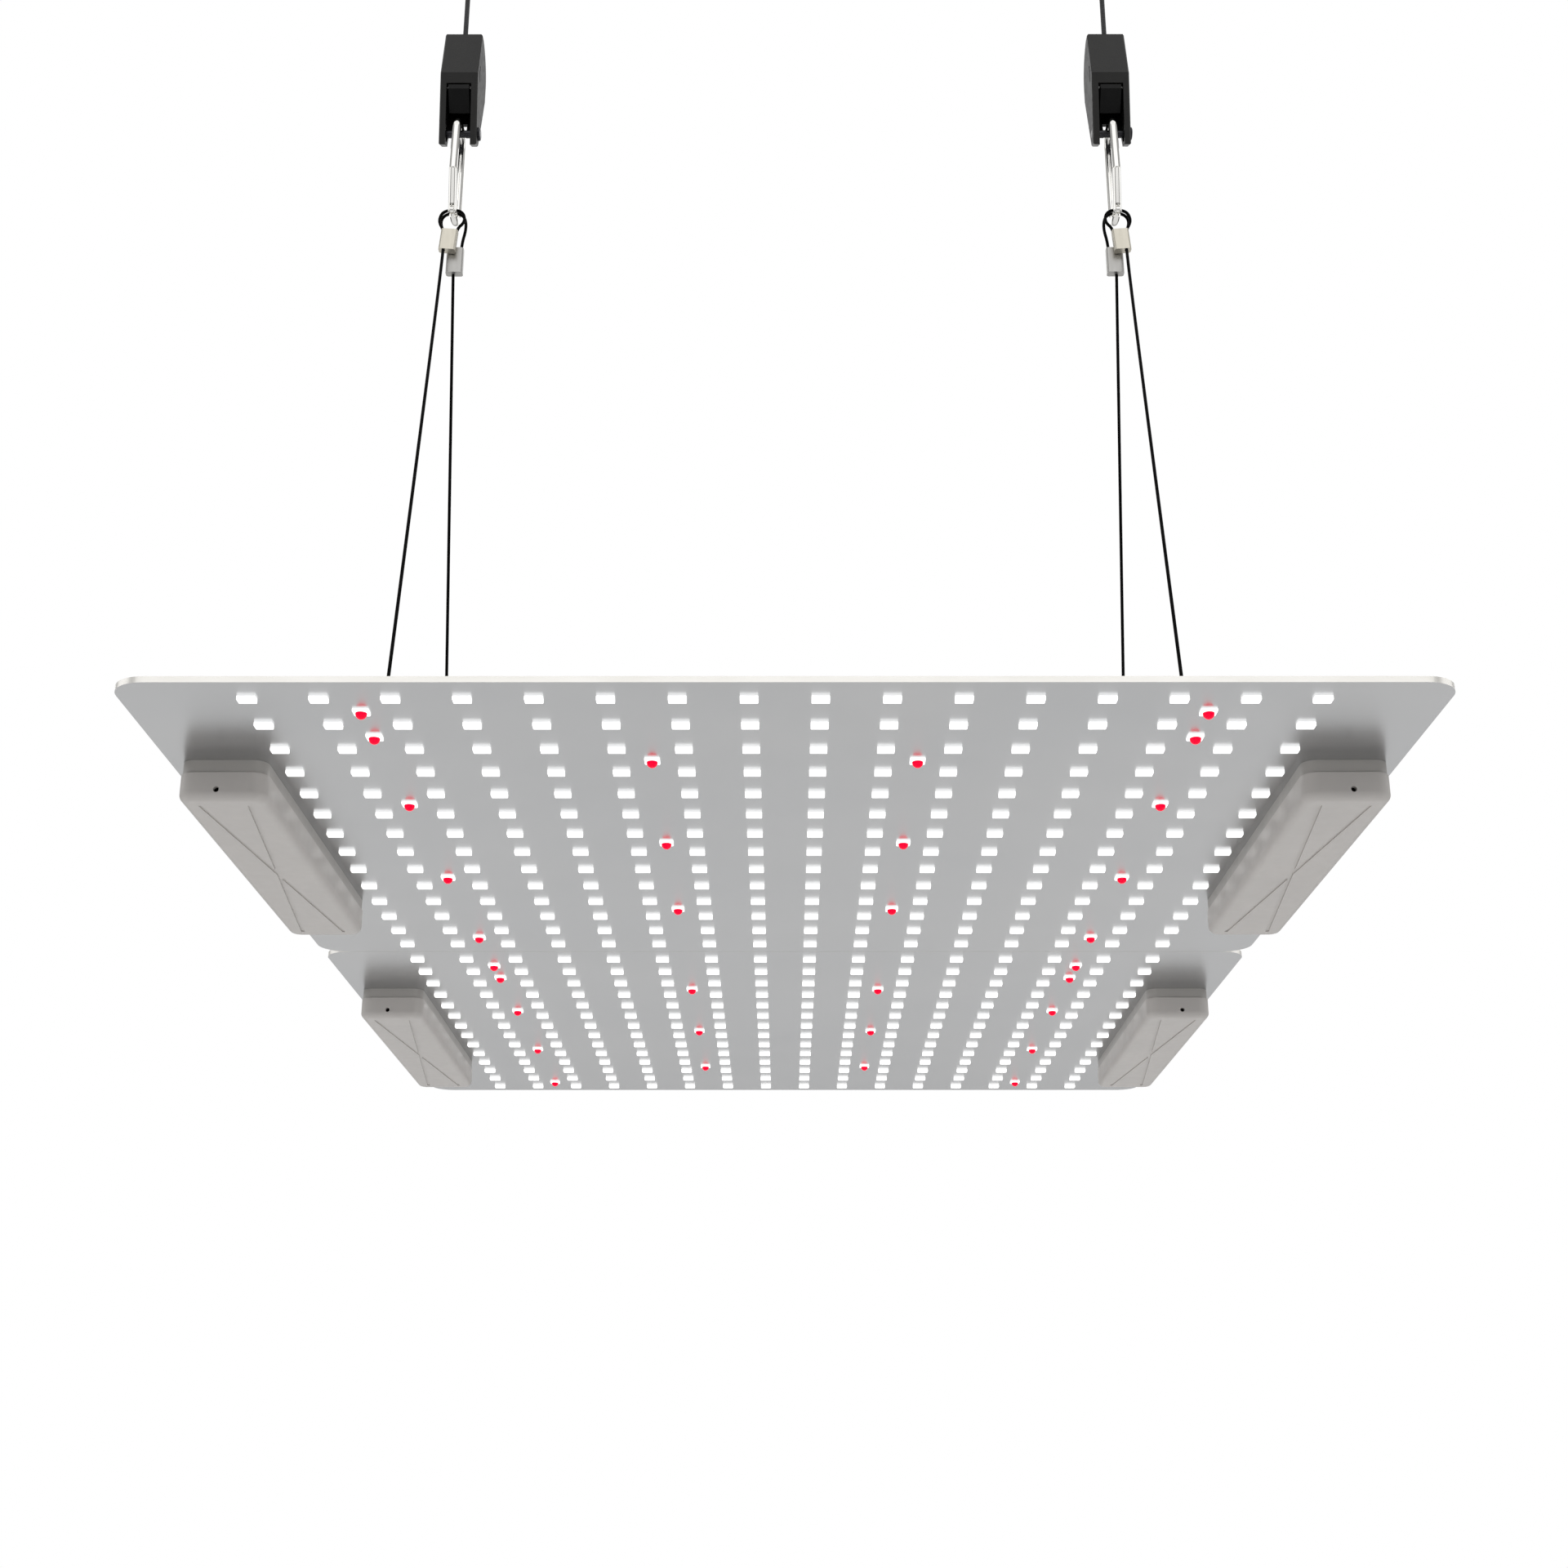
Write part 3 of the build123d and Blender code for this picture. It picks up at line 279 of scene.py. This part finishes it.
def red_lens():
    """The lit red dome of a deep red LED, with painted shade that makes its glow darker next to its base.
    """
    s = Shader("red_lens", (0.7, 0.0, 0.03), 0.1)
    height = s.node("ShaderNodeSeparateXYZ")
    s.link(s.place(), height.inputs["Vector"])
    rim_low = (BOARD_UNDERSIDE - 1.5) * MM
    rim_high = (BOARD_UNDERSIDE - 0.7) * MM
    # Painted shade: the glow is dimmed towards the base, where the rim of the dome looks darker.
    painted_rim_shade = s.spread(height.outputs["Z"], 0, 1, rim_low, rim_high)
    grain = s.spread(s.noise(1800, 2), 0, 1)
    dome = s.mix(grain, (0.97, 0.0, 0.016), (0.99, 0.0, 0.022))
    s.link(s.mix(painted_rim_shade, dome, (0.45, 0.0, 0.015)), s.bsdf.inputs["Emission Color"])
    s.set(**{"Emission Strength": 1.0, "Specular IOR Level": 0.1})
    s.material.cycles.emission_sampling = "NONE"
    return s.material


def cover_plastic(name, first, second):
    """Fine satin moulded plastic in a warm light grey."""
    s = Shader(name, first, 0.42)
    s.vary_colour(first, second, 45)
    s.vary_roughness(0.38, 0.5, 260)
    s.bump(s.noise(2600, 2), 0.08, 0.00006)
    s.bump(s.noise(120, 2), 0.04, 0.0004)
    return s.material


def plain_plastic(name, first, second, roughness, grain, depth, specular=0.5):
    """Moulded plastic with a grain of its own."""
    s = Shader(name, first, roughness)
    s.set(**{"Specular IOR Level": specular})
    s.vary_colour(first, second, 120)
    s.vary_roughness(roughness - 0.05, roughness + 0.06, 300)
    s.bump(s.noise(grain, 3), 0.25, depth)
    return s.material


def spark_plastic():
    """Black plastic with a coarse spark-eroded texture."""
    s = Shader("box_plastic", (0.03, 0.03, 0.031), 0.5)
    s.vary_colour((0.028, 0.028, 0.03), (0.04, 0.04, 0.041), 90)
    s.vary_roughness(0.45, 0.58, 700)
    cells = s.node("ShaderNodeTexVoronoi")
    cells.inputs["Scale"].default_value = 1500
    s.link(s.place(), cells.inputs["Vector"])
    s.bump(cells.outputs["Distance"], 0.35, 0.0001)
    s.bump(s.noise(900, 3), 0.2, 0.0001)
    return s.material


def metal(name, first, second, roughness, grain, stretch=(1, 1, 1)):
    """Bare or plated metal, its grain drawn out along an axis where it is stretched."""
    s = Shader(name, first, roughness, 1.0)
    s.vary_colour(first, second, 35)
    s.vary_roughness(max(roughness - 0.04, 0.02), roughness + 0.07, grain / 3, stretch)
    s.bump(s.noise(grain, 3, stretch), 0.07, 0.00003)
    return s.material


def ferrule_metal():
    """Crimped aluminium with a painted reflection: one metal, tinted warm on the sleeves at the front and
    plain grey on those at the rear, for the different light each one reflects.
    """
    s = Shader("ferrule_aluminium", (0.6, 0.57, 0.49), 0.24, 1.0)
    # Painted reflection: the warm and grey tints are the same aluminium under different reflected light,
    # split by depth.
    warm = s.mix(s.spread(s.noise(35, 4), 0, 1), (0.56, 0.53, 0.455), (0.64, 0.605, 0.525))
    grey = s.mix(s.spread(s.noise(35, 4), 0, 1), (0.42, 0.415, 0.40), (0.49, 0.48, 0.46))
    depth = s.node("ShaderNodeSeparateXYZ")
    s.link(s.place(), depth.inputs["Vector"])
    rear = s.spread(depth.outputs["Y"], 0, 1, -0.3 * MM, -0.1 * MM)
    s.link(s.mix(rear, warm, grey), s.bsdf.inputs["Base Color"])
    lengthwise = (1, 1, 0.12)
    s.vary_roughness(0.32, 0.42, 730, lengthwise)
    s.bump(s.noise(2200, 3, lengthwise), 0.04, 0.00003)
    return s.material


def threaded_steel():
    """Zinc-plated steel whose fine ridges read as a thread."""
    s = Shader("screw_steel", (0.62, 0.62, 0.6), 0.28, 1.0)
    s.vary_colour((0.58, 0.585, 0.57), (0.68, 0.675, 0.65), 60)
    s.vary_roughness(0.22, 0.36, 400)
    thread = s.node("ShaderNodeTexWave", bands_direction="Z")
    thread.inputs["Scale"].default_value = 450
    s.link(s.place(), thread.inputs["Vector"])
    s.bump(thread.outputs["Fac"], 0.12, 0.0001)
    return s.material


def ratchet_nylon():
    """Satin black nylon with a fine moulded grain, rougher on the flat sides."""
    s = Shader("ratchet_nylon", (0.009, 0.0085, 0.008), 0.3)
    s.vary_colour((0.008, 0.0076, 0.007), (0.011, 0.0104, 0.0096), 200)
    rougher = s.node("ShaderNodeMath", operation="ADD")
    s.link(s.spread(s.noise(500, 4), 0.26, 0.36), rougher.inputs[0])
    s.link(s.facing("X", 0, 0.18, 0.85, 0.95), rougher.inputs[1])
    s.link(rougher.outputs["Value"], s.bsdf.inputs["Roughness"])
    s.set(**{"Specular IOR Level": 0.25})
    s.bump(s.noise(2400, 3), 0.04, 0.00005)
    s.bump(s.noise(150, 2), 0.03, 0.0003)
    return s.material


def wire_coating():
    """A smooth black sleeve over steel wire, with the lay of the strands just showing."""
    s = Shader("wire_coating", (0.002, 0.002, 0.002), 0.5)
    s.set(**{"Specular IOR Level": 0.04})
    s.vary_colour((0.0015, 0.0015, 0.0015), (0.003, 0.003, 0.003), 300)
    s.vary_roughness(0.42, 0.55, 900)
    s.bump(s.noise(1600, 2, (1, 1, 0.3)), 0.02, 0.00003)
    return s.material


def rope_fibre():
    """Dark braided cord: two sets of slanting strands that cross."""
    s = Shader("rope_fibre", (0.02, 0.02, 0.022), 0.7)
    weave = []
    for slant in (1, -1):
        wave = s.node("ShaderNodeTexWave", bands_direction="DIAGONAL", wave_profile="SIN")
        wave.inputs["Scale"].default_value = 1.0
        s.link(s.place((slant * 1.9, 760.0, 1.0), "UV"), wave.inputs["Vector"])
        weave.append(wave.outputs["Fac"])
    both = s.node("ShaderNodeMath", operation="MAXIMUM")
    s.link(weave[0], both.inputs[0])
    s.link(weave[1], both.inputs[1])
    colour = s.mix(both.outputs[0], (0.006, 0.006, 0.007), (0.035, 0.035, 0.038))
    s.link(colour, s.bsdf.inputs["Base Color"])
    s.set(**{"Sheen Weight": 0.25, "Sheen Roughness": 0.4})
    s.bump(both.outputs[0], 0.9, 0.0003)
    s.bump(s.noise(5000, 3), 0.25, 0.0001)
    return s.material


MATERIALS = {
    "board_enamel": board_enamel(),
    "white_led": white_led_body(),
    "red_led": red_lens(),
    "cover_plastic": cover_plastic("cover_plastic", (0.54, 0.517, 0.496), (0.568, 0.542, 0.518)),
    "component_black": plain_plastic(
        "component_black", (0.02, 0.02, 0.02), (0.035, 0.034, 0.033), 0.45, 1800, 0.0001
    ),
    "screw_steel": threaded_steel(),
    "box_plastic": spark_plastic(),
    "terminal_plastic": plain_plastic(
        "terminal_plastic", (0.72, 0.72, 0.66), (0.78, 0.78, 0.73), 0.35, 1200, 0.0001
    ),
    "lead_rubber": plain_plastic("lead_rubber", (0.2, 0.09, 0.04), (0.26, 0.12, 0.05), 0.5, 2200, 0.0001),
    "ferrule_aluminium": ferrule_metal(),
    "bar_aluminium": metal("bar_aluminium", (0.72, 0.72, 0.73), (0.8, 0.8, 0.8), 0.3, 2600, (1, 0.04, 1)),
    "clip_chrome": metal("clip_chrome", (0.80, 0.79, 0.76), (0.88, 0.87, 0.84), 0.09, 1500),
    "ratchet_nylon": ratchet_nylon(),
    "wheel_nylon": plain_plastic(
        "wheel_nylon", (0.03, 0.03, 0.03), (0.045, 0.045, 0.045), 0.32, 1500, 0.00005
    ),
    "pin_black": metal("pin_black", (0.03, 0.03, 0.033), (0.05, 0.05, 0.055), 0.3, 1800),
    "rope_fibre": rope_fibre(),
    "wire_coating": wire_coating(),
}
PHOSPHOR = phosphor()
# Painted shade: a darker copy of the cover plastic for the base rings, which sit in the board's shade
# right next to it.
SHADED_BASE_PLASTIC = cover_plastic("base_plastic_painted_shade", (0.42, 0.405, 0.385), (0.445, 0.428, 0.406))
# Painted shade: a darker, less glossy copy of the black nylon for the release levers, which sit in shade
# inside the ratchet windows.
SHADED_LEVER_NYLON = plain_plastic(
    "lever_nylon_painted_shade", (0.003, 0.003, 0.003), (0.005, 0.005, 0.005), 0.42, 2000, 0.00005, 0.15
)


def paint_nodes():
    """Give every CAD node the material of its slot in the record; the release levers and cover bases get
    darker copies instead, as painted shade.
    """
    for part in frame["record"]["subparts"]:
        obj = frame["nodes"][part["node"]]
        made = MATERIALS[part["material_slot"]]
        if not obj.material_slots:
            obj.data.materials.append(made)
        # Painted shade: the release levers get the darker, less glossy nylon.
        if part["node"].startswith("release_lever"):
            made = SHADED_LEVER_NYLON
        # Painted shade: the cover bases get the darker copy of the cover plastic.
        elif part["node"].startswith("cover_base"):
            made = SHADED_BASE_PLASTIC
        for place in obj.material_slots:
            place.material = made


# ---- cords --------------------------------------------------------------------------------------------
def hanger(side, u, y, z):
    """A point beside one hanger, in metres: u is the distance inwards, in millimetres."""
    return Vector((SIDES[side] * (HANGER_X - u), y, z)) * MM


def eye_points(side, end):
    """The lower loop of a wire, through the eye of the joining bar."""
    eye = hanger(side, 0, ENDS[end] * EYE_Y, EYE_Z)
    _, top_y, top_z = WIRE_LOOPS[end][-1]
    rise = Vector((0, top_y * MM - eye.y, top_z * MM - eye.z)).normalized()
    inward = Vector((-SIDES[side], 0, 0))
    return [eye + inward * across * MM + rise * along * MM for across, along in EYE_LOOP]


def route_curve(name, points):
    """One open NURBS spline with the route's points as its control points."""
    data = bpy.data.curves.new(name, "CURVE")
    data.dimensions = "3D"
    spline = data.splines.new("NURBS")
    spline.points.add(len(points) - 1)
    for place, point in zip(spline.points, points):
        place.co = (*point, 1)
    spline.order_u = 3
    spline.use_endpoint_u = True
    spline.resolution_u = 16
    curve = bpy.data.objects.new(name, data)
    bpy.context.scene.collection.objects.link(curve)
    return curve


def hanging_wires():
    """Four black wires, each one smooth cord with a loop at both ends."""
    for side in SIDES:
        for end in ENDS:
            points = [hanger(side, *place) for place in WIRE_LOOPS[end]] + eye_points(side, end)
            wire = route_curve(f"wire_{end}_{side}", points)
            wire.data.bevel_depth = WIRE_DIAMETER / 2 * MM
            wire.data.bevel_resolution = 5
            wire.data.use_fill_caps = True
            wire.data.materials.append(MATERIALS["wire_coating"])
            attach(wire, "light")
            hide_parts(f"hanging_wire_{end}_{side}")


def spline_points(curve):
    """The points that a curve's own smooth line passes through."""
    bpy.context.view_layer.update()
    mesh = bpy.data.meshes.new_from_object(curve)
    points = [v.co.copy() for v in mesh.vertices]
    bpy.data.meshes.remove(mesh)
    return points


def tube_mesh(name, path, radius, around=20):
    """A round tube along a path, with UVs of (turns, metres along)."""
    mesh = bmesh.new()
    uv = mesh.loops.layers.uv.new("UVMap")
    heading = (path[1] - path[0]).normalized()
    across = heading.orthogonal().normalized()
    rings, lengths = [], []
    travelled = 0.0
    for i, point in enumerate(path):
        ahead = path[min(i + 1, len(path) - 1)] - path[max(i - 1, 0)]
        ahead.normalize()
        across = (across - ahead * across.dot(ahead)).normalized()
        upward = ahead.cross(across)
        if i:
            travelled += (point - path[i - 1]).length
        ring = []
        for k in range(around):
            turn = 2 * math.pi * k / around
            outward = across * math.cos(turn) + upward * math.sin(turn)
            ring.append(mesh.verts.new(point + outward * radius))
        rings.append(ring)
        lengths.append(travelled)
    for i in range(len(rings) - 1):
        for k in range(around):
            n = (k + 1) % around
            face = mesh.faces.new((rings[i][k], rings[i][n], rings[i + 1][n], rings[i + 1][k]))
            face.smooth = True
            turns = (k / around, (k + 1) / around, (k + 1) / around, k / around)
            reach = (lengths[i], lengths[i], lengths[i + 1], lengths[i + 1])
            for loop, u, v in zip(face.loops, turns, reach):
                loop[uv].uv = (u, v)
    mesh.faces.new(list(reversed(rings[0])))
    mesh.faces.new(rings[-1])
    return finished(mesh, name)


def finished(mesh, name):
    """A bmesh as an object in the scene."""
    data = bpy.data.meshes.new(name)
    bmesh.ops.recalc_face_normals(mesh, faces=mesh.faces)
    mesh.to_mesh(data)
    mesh.free()
    obj = bpy.data.objects.new(name, data)
    bpy.context.scene.collection.objects.link(obj)
    return obj


def resampled(path, step):
    """The same line with evenly spaced points."""
    out = [path[0]]
    left = step
    for a, b in zip(path, path[1:]):
        run = (b - a).length
        while run >= left:
            a = a + (b - a).normalized() * left
            out.append(a)
            run = (b - a).length
            left = step
        left -= run
    out.append(path[-1])
    return out


def rope_points(side):
    """A rope's route: from its stopper knot round the wheel, up out of the ratchet, round its loop."""
    far = 2 * WHEEL_Y
    low = WHEEL_Z - WHEEL_Y
    inside = (
        (0, far, ROPE_TAIL_TOP),
        (0, far, 448.0),
        (0, far, 441.0),
        (0, far, low + 0.6),
        (0, WHEEL_Y, low - 0.6),
        (0, 0, low + 0.6),
        (0, 0, 441.0),
        (0, 0, 455.0),
        (0, 0, 470.0),
        (0, 0, 480.0),
    )
    return [hanger(side, *place) for place in inside] + [hanger(side, u, 0, z) for u, z in ROPE_LOOP]


def ropes():
    """Two braided ropes, each bending its own way between the upper hook and the ratchet."""
    for side in SIDES:
        line = route_curve(f"rope_line_{side}", rope_points(side))
        path = spline_points(line)
        bpy.data.objects.remove(line)
        even = resampled(path, 0.7 * MM)
        rope = tube_mesh(f"rope_{side}", even, ROPE_DIAMETER / 2 * MM)
        rope.data.materials.append(MATERIALS["rope_fibre"])
        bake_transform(rope)
        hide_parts(f"rope_upper_{side}", "rope_wraps", "rope_loops")
        knot = stopper_knot(side)


def stopper_knot(side):
    """An overhand knot at the end of the rope, as a trefoil drawn tight."""
    centre = hanger(side, 0, 2 * WHEEL_Y + 0.1, ROPE_TAIL_TOP + 0.7)
    path = []
    steps = 90
    for i in range(steps):
        t = 2 * math.pi * i / steps
        x = 0.5 * math.sin(t) + math.sin(2 * t)
        y = 0.5 * math.cos(t) - math.cos(2 * t)
        z = -0.93 * math.sin(3 * t)
        path.append(centre + Vector((x, y, z)) * MM)
    knot = tube_mesh(f"rope_knot_{side}", path + path[:1], KNOT_STRAND / 2 * MM, 16)
    knot.data.materials.append(MATERIALS["rope_fibre"])
    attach(knot, "ratchets")
    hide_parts("rope_wraps")
    return knot


# ---- LEDs ----------------------------------------------------------------------------------------------
def layer(mesh, x, y, z, half_x, half_y, cut):
    """A rectangle with cut corners, as eight vertices; everything in millimetres."""
    outline = (
        (half_x, half_y - cut),
        (half_x - cut, half_y),
        (cut - half_x, half_y),
        (-half_x, half_y - cut),
        (-half_x, cut - half_y),
        (cut - half_x, -half_y),
        (half_x - cut, -half_y),
        (half_x, cut - half_y),
    )
    return [mesh.verts.new(Vector((x + dx, y + dy, z)) * MM) for dx, dy in outline]


def skin(mesh, rings, materials):
    """Walls between rings of vertices, closed at both ends. There is one material index for each wall,
    then one for the face that closes the last ring."""
    mesh.faces.new(rings[0])
    for upper, lower, index in zip(rings, rings[1:], materials):
        for k in range(len(upper)):
            n = (k + 1) % len(upper)
            mesh.faces.new((upper[k], upper[n], lower[n], lower[k])).material_index = index
    mesh.faces.new(list(reversed(rings[-1]))).material_index = materials[-1]


def white_led(mesh, x, y):
    """A white housing with a sunken rectangle of phosphor."""
    width, depth, drop = WHITE_LED
    half_x, half_y = width / 2, depth / 2
    low = BOARD_UNDERSIDE - drop
    # height, how far in from the sides, and how much is cut off the corners
    steps = (
        (BOARD_UNDERSIDE, 0.0, 0.15),
        (low + 0.08, 0.0, 0.15),
        (low, 0.08, 0.12),
        (low, 0.45, 0.3),
        (low + 0.2, 0.6, 0.3),
    )
    rings = [layer(mesh, x, y, z, half_x - inset, half_y - inset, cut) for z, inset, cut in steps]
    skin(mesh, rings, (0, 0, 0, 0, 1))


def red_led(mesh, x, y):
    """A white base that carries a red dome."""
    width, depth, height = RED_BASE
    low = BOARD_UNDERSIDE - height
    steps = ((BOARD_UNDERSIDE, 0.0), (low + 0.06, 0.0), (low, 0.06))
    rings = [layer(mesh, x, y, z, width / 2 - inset, depth / 2 - inset, 0.3) for z, inset in steps]
    skin(mesh, rings, (0, 0, 0))
    centre = BOARD_UNDERSIDE - RED_LENS_DROP + RED_LENS_RADIUS
    rings = [dome_ring(mesh, x, y, low + 0.02, RED_LENS_RADIUS)]
    for k in range(DOME_STEPS):
        turn = math.pi / 2 * k / DOME_STEPS
        z = centre - RED_LENS_RADIUS * math.sin(turn)
        rings.append(dome_ring(mesh, x, y, min(z, low), RED_LENS_RADIUS * math.cos(turn)))
    start = len(mesh.faces)
    skin(mesh, rings, [1] * len(rings))
    mesh.faces.ensure_lookup_table()
    for face in mesh.faces[start:]:
        face.smooth = len(face.verts) == 4
        face.material_index = 1


def dome_ring(mesh, x, y, z, radius):
    """One level circle of a dome's vertices."""
    turns = [2 * math.pi * k / DOME_SIDES for k in range(DOME_SIDES)]
    places = [(x + radius * math.cos(t), y + radius * math.sin(t)) for t in turns]
    return [mesh.verts.new(Vector((px, py, z)) * MM) for px, py in places]


def led_field():
    """The LEDs of both boards: a square grid of white ones, with red ones between their rows."""
    columns = [LED_PITCH * (k - (LED_COLUMNS - 1) / 2) for k in range(LED_COLUMNS)]
    for end, start in BOARD_STARTS.items():
        white, red = bmesh.new(), bmesh.new()
        for row in range(LED_ROWS):
            for x in columns:
                white_led(white, x, start + LED_START + LED_PITCH * row)
        for reach, rows in RED_ROWS.items():
            for row in rows:
                for sign in (-1, 1):
                    red_led(red, sign * reach, start + LED_START + LED_PITCH * row)
        lit = ((white, "white_led", PHOSPHOR), (red, "red_led", MATERIALS["red_led"]))
        for mesh, name, second in lit:
            leds = finished(mesh, f"{name}s_{end}_lit")
            leds.data.materials.append(MATERIALS["white_led"])
            leds.data.materials.append(second)
            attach(leds, "light")
            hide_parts(f"{name}s_{end}")


# ---- camera, light and floor --------------------------------------------------------------------------
def make_camera():
    """The camera, at the viewing angle from below the front edge."""
    data = bpy.data.cameras.new("camera")
    data.sensor_width = 36
    data.lens = CAMERA_LENS
    data.clip_start = 0.01
    camera = bpy.data.objects.new("camera", data)
    bpy.context.scene.collection.objects.link(camera)
    camera.location = CAMERA_PLACE
    camera.rotation_euler = (math.pi / 2 + CAMERA_RISE, 0, CAMERA_TURN)
    bpy.context.scene.camera = camera
    bpy.context.scene.view_settings.view_transform = "Standard"


def level_ramp(tree, places, levels):
    """A ramp of greys, with its own first and last stops moved to the ends of the list."""
    ramp = tree.nodes.new("ShaderNodeValToRGB")
    for place in places[2:]:
        ramp.color_ramp.elements.new(place)
    for stop, place, level in zip(ramp.color_ramp.elements, places, levels):
        stop.position = place
        stop.color = (level, level, level, 1)
    return ramp


def make_surround():
    """A white background, and a soft light around it that has a level for each direction."""
    world = bpy.data.worlds.new("surround")
    bpy.context.scene.world = world
    world.use_nodes = True
    tree = world.node_tree
    link = tree.links.new
    around = tree.nodes.new("ShaderNodeTexCoord")
    heading = tree.nodes.new("ShaderNodeSeparateXYZ")
    link(around.outputs["Generated"], heading.inputs["Vector"])

    upright = tree.nodes.new("ShaderNodeMapRange")
    upright.inputs["From Min"].default_value = -1
    link(heading.outputs["Z"], upright.inputs["Value"])
    sky = level_ramp(tree, SKY_PLACES, SKY_LEVELS)
    link(upright.outputs["Result"], sky.inputs["Fac"])

    aside = tree.nodes.new("ShaderNodeMath")
    aside.operation = "ABSOLUTE"
    link(heading.outputs["X"], aside.inputs[0])
    flags = level_ramp(tree, FLAG_PLACES, FLAG_LEVELS)
    link(aside.outputs["Value"], flags.inputs["Fac"])
    strength = tree.nodes.new("ShaderNodeMath")
    strength.operation = "MULTIPLY"
    strength.inputs[1].default_value = SKY_STRENGTH
    link(flags.outputs["Color"], strength.inputs[0])

    lighting = tree.nodes.new("ShaderNodeBackground")
    link(sky.outputs["Color"], lighting.inputs["Color"])
    link(strength.outputs["Value"], lighting.inputs["Strength"])
    shown = tree.nodes["Background"]
    shown.inputs["Color"].default_value = (1, 1, 1, 1)
    shown.inputs["Strength"].default_value = 1.0
    rays = tree.nodes.new("ShaderNodeLightPath")
    mix = tree.nodes.new("ShaderNodeMixShader")
    link(rays.outputs["Is Camera Ray"], mix.inputs["Fac"])
    link(lighting.outputs["Background"], mix.inputs[1])
    link(shown.outputs["Background"], mix.inputs[2])
    link(mix.outputs["Shader"], tree.nodes["World Output"].inputs["Surface"])


def make_floor():
    """A plain pale disc, with painted shade that makes it a little darker towards the rear."""
    plane = bmesh.new()
    bmesh.ops.create_circle(plane, cap_ends=True, segments=96, radius=FLOOR_RADIUS)
    floor = finished(plane, "floor")
    floor.location = FLOOR_PLACE
    s = Shader("floor", (0.8, 0.8, 0.79), 0.7)
    along = s.node("ShaderNodeSeparateXYZ")
    s.link(s.place(), along.inputs["Vector"])
    # Painted shade: the floor colour darkens towards the rear, for the dimmer light there.
    far = s.spread(along.outputs["Y"], 0, 1, -0.2, 1.7)
    near = s.mix(s.spread(s.noise(3, 2), 0, 1), (0.84, 0.84, 0.84), (0.86, 0.86, 0.86))
    s.link(s.mix(far, near, (0.73, 0.73, 0.735)), s.bsdf.inputs["Base Color"])
    floor.data.materials.append(s.material)


make_camera()
make_surround()
make_floor()
paint_nodes()
hanging_wires()
ropes()
led_field()
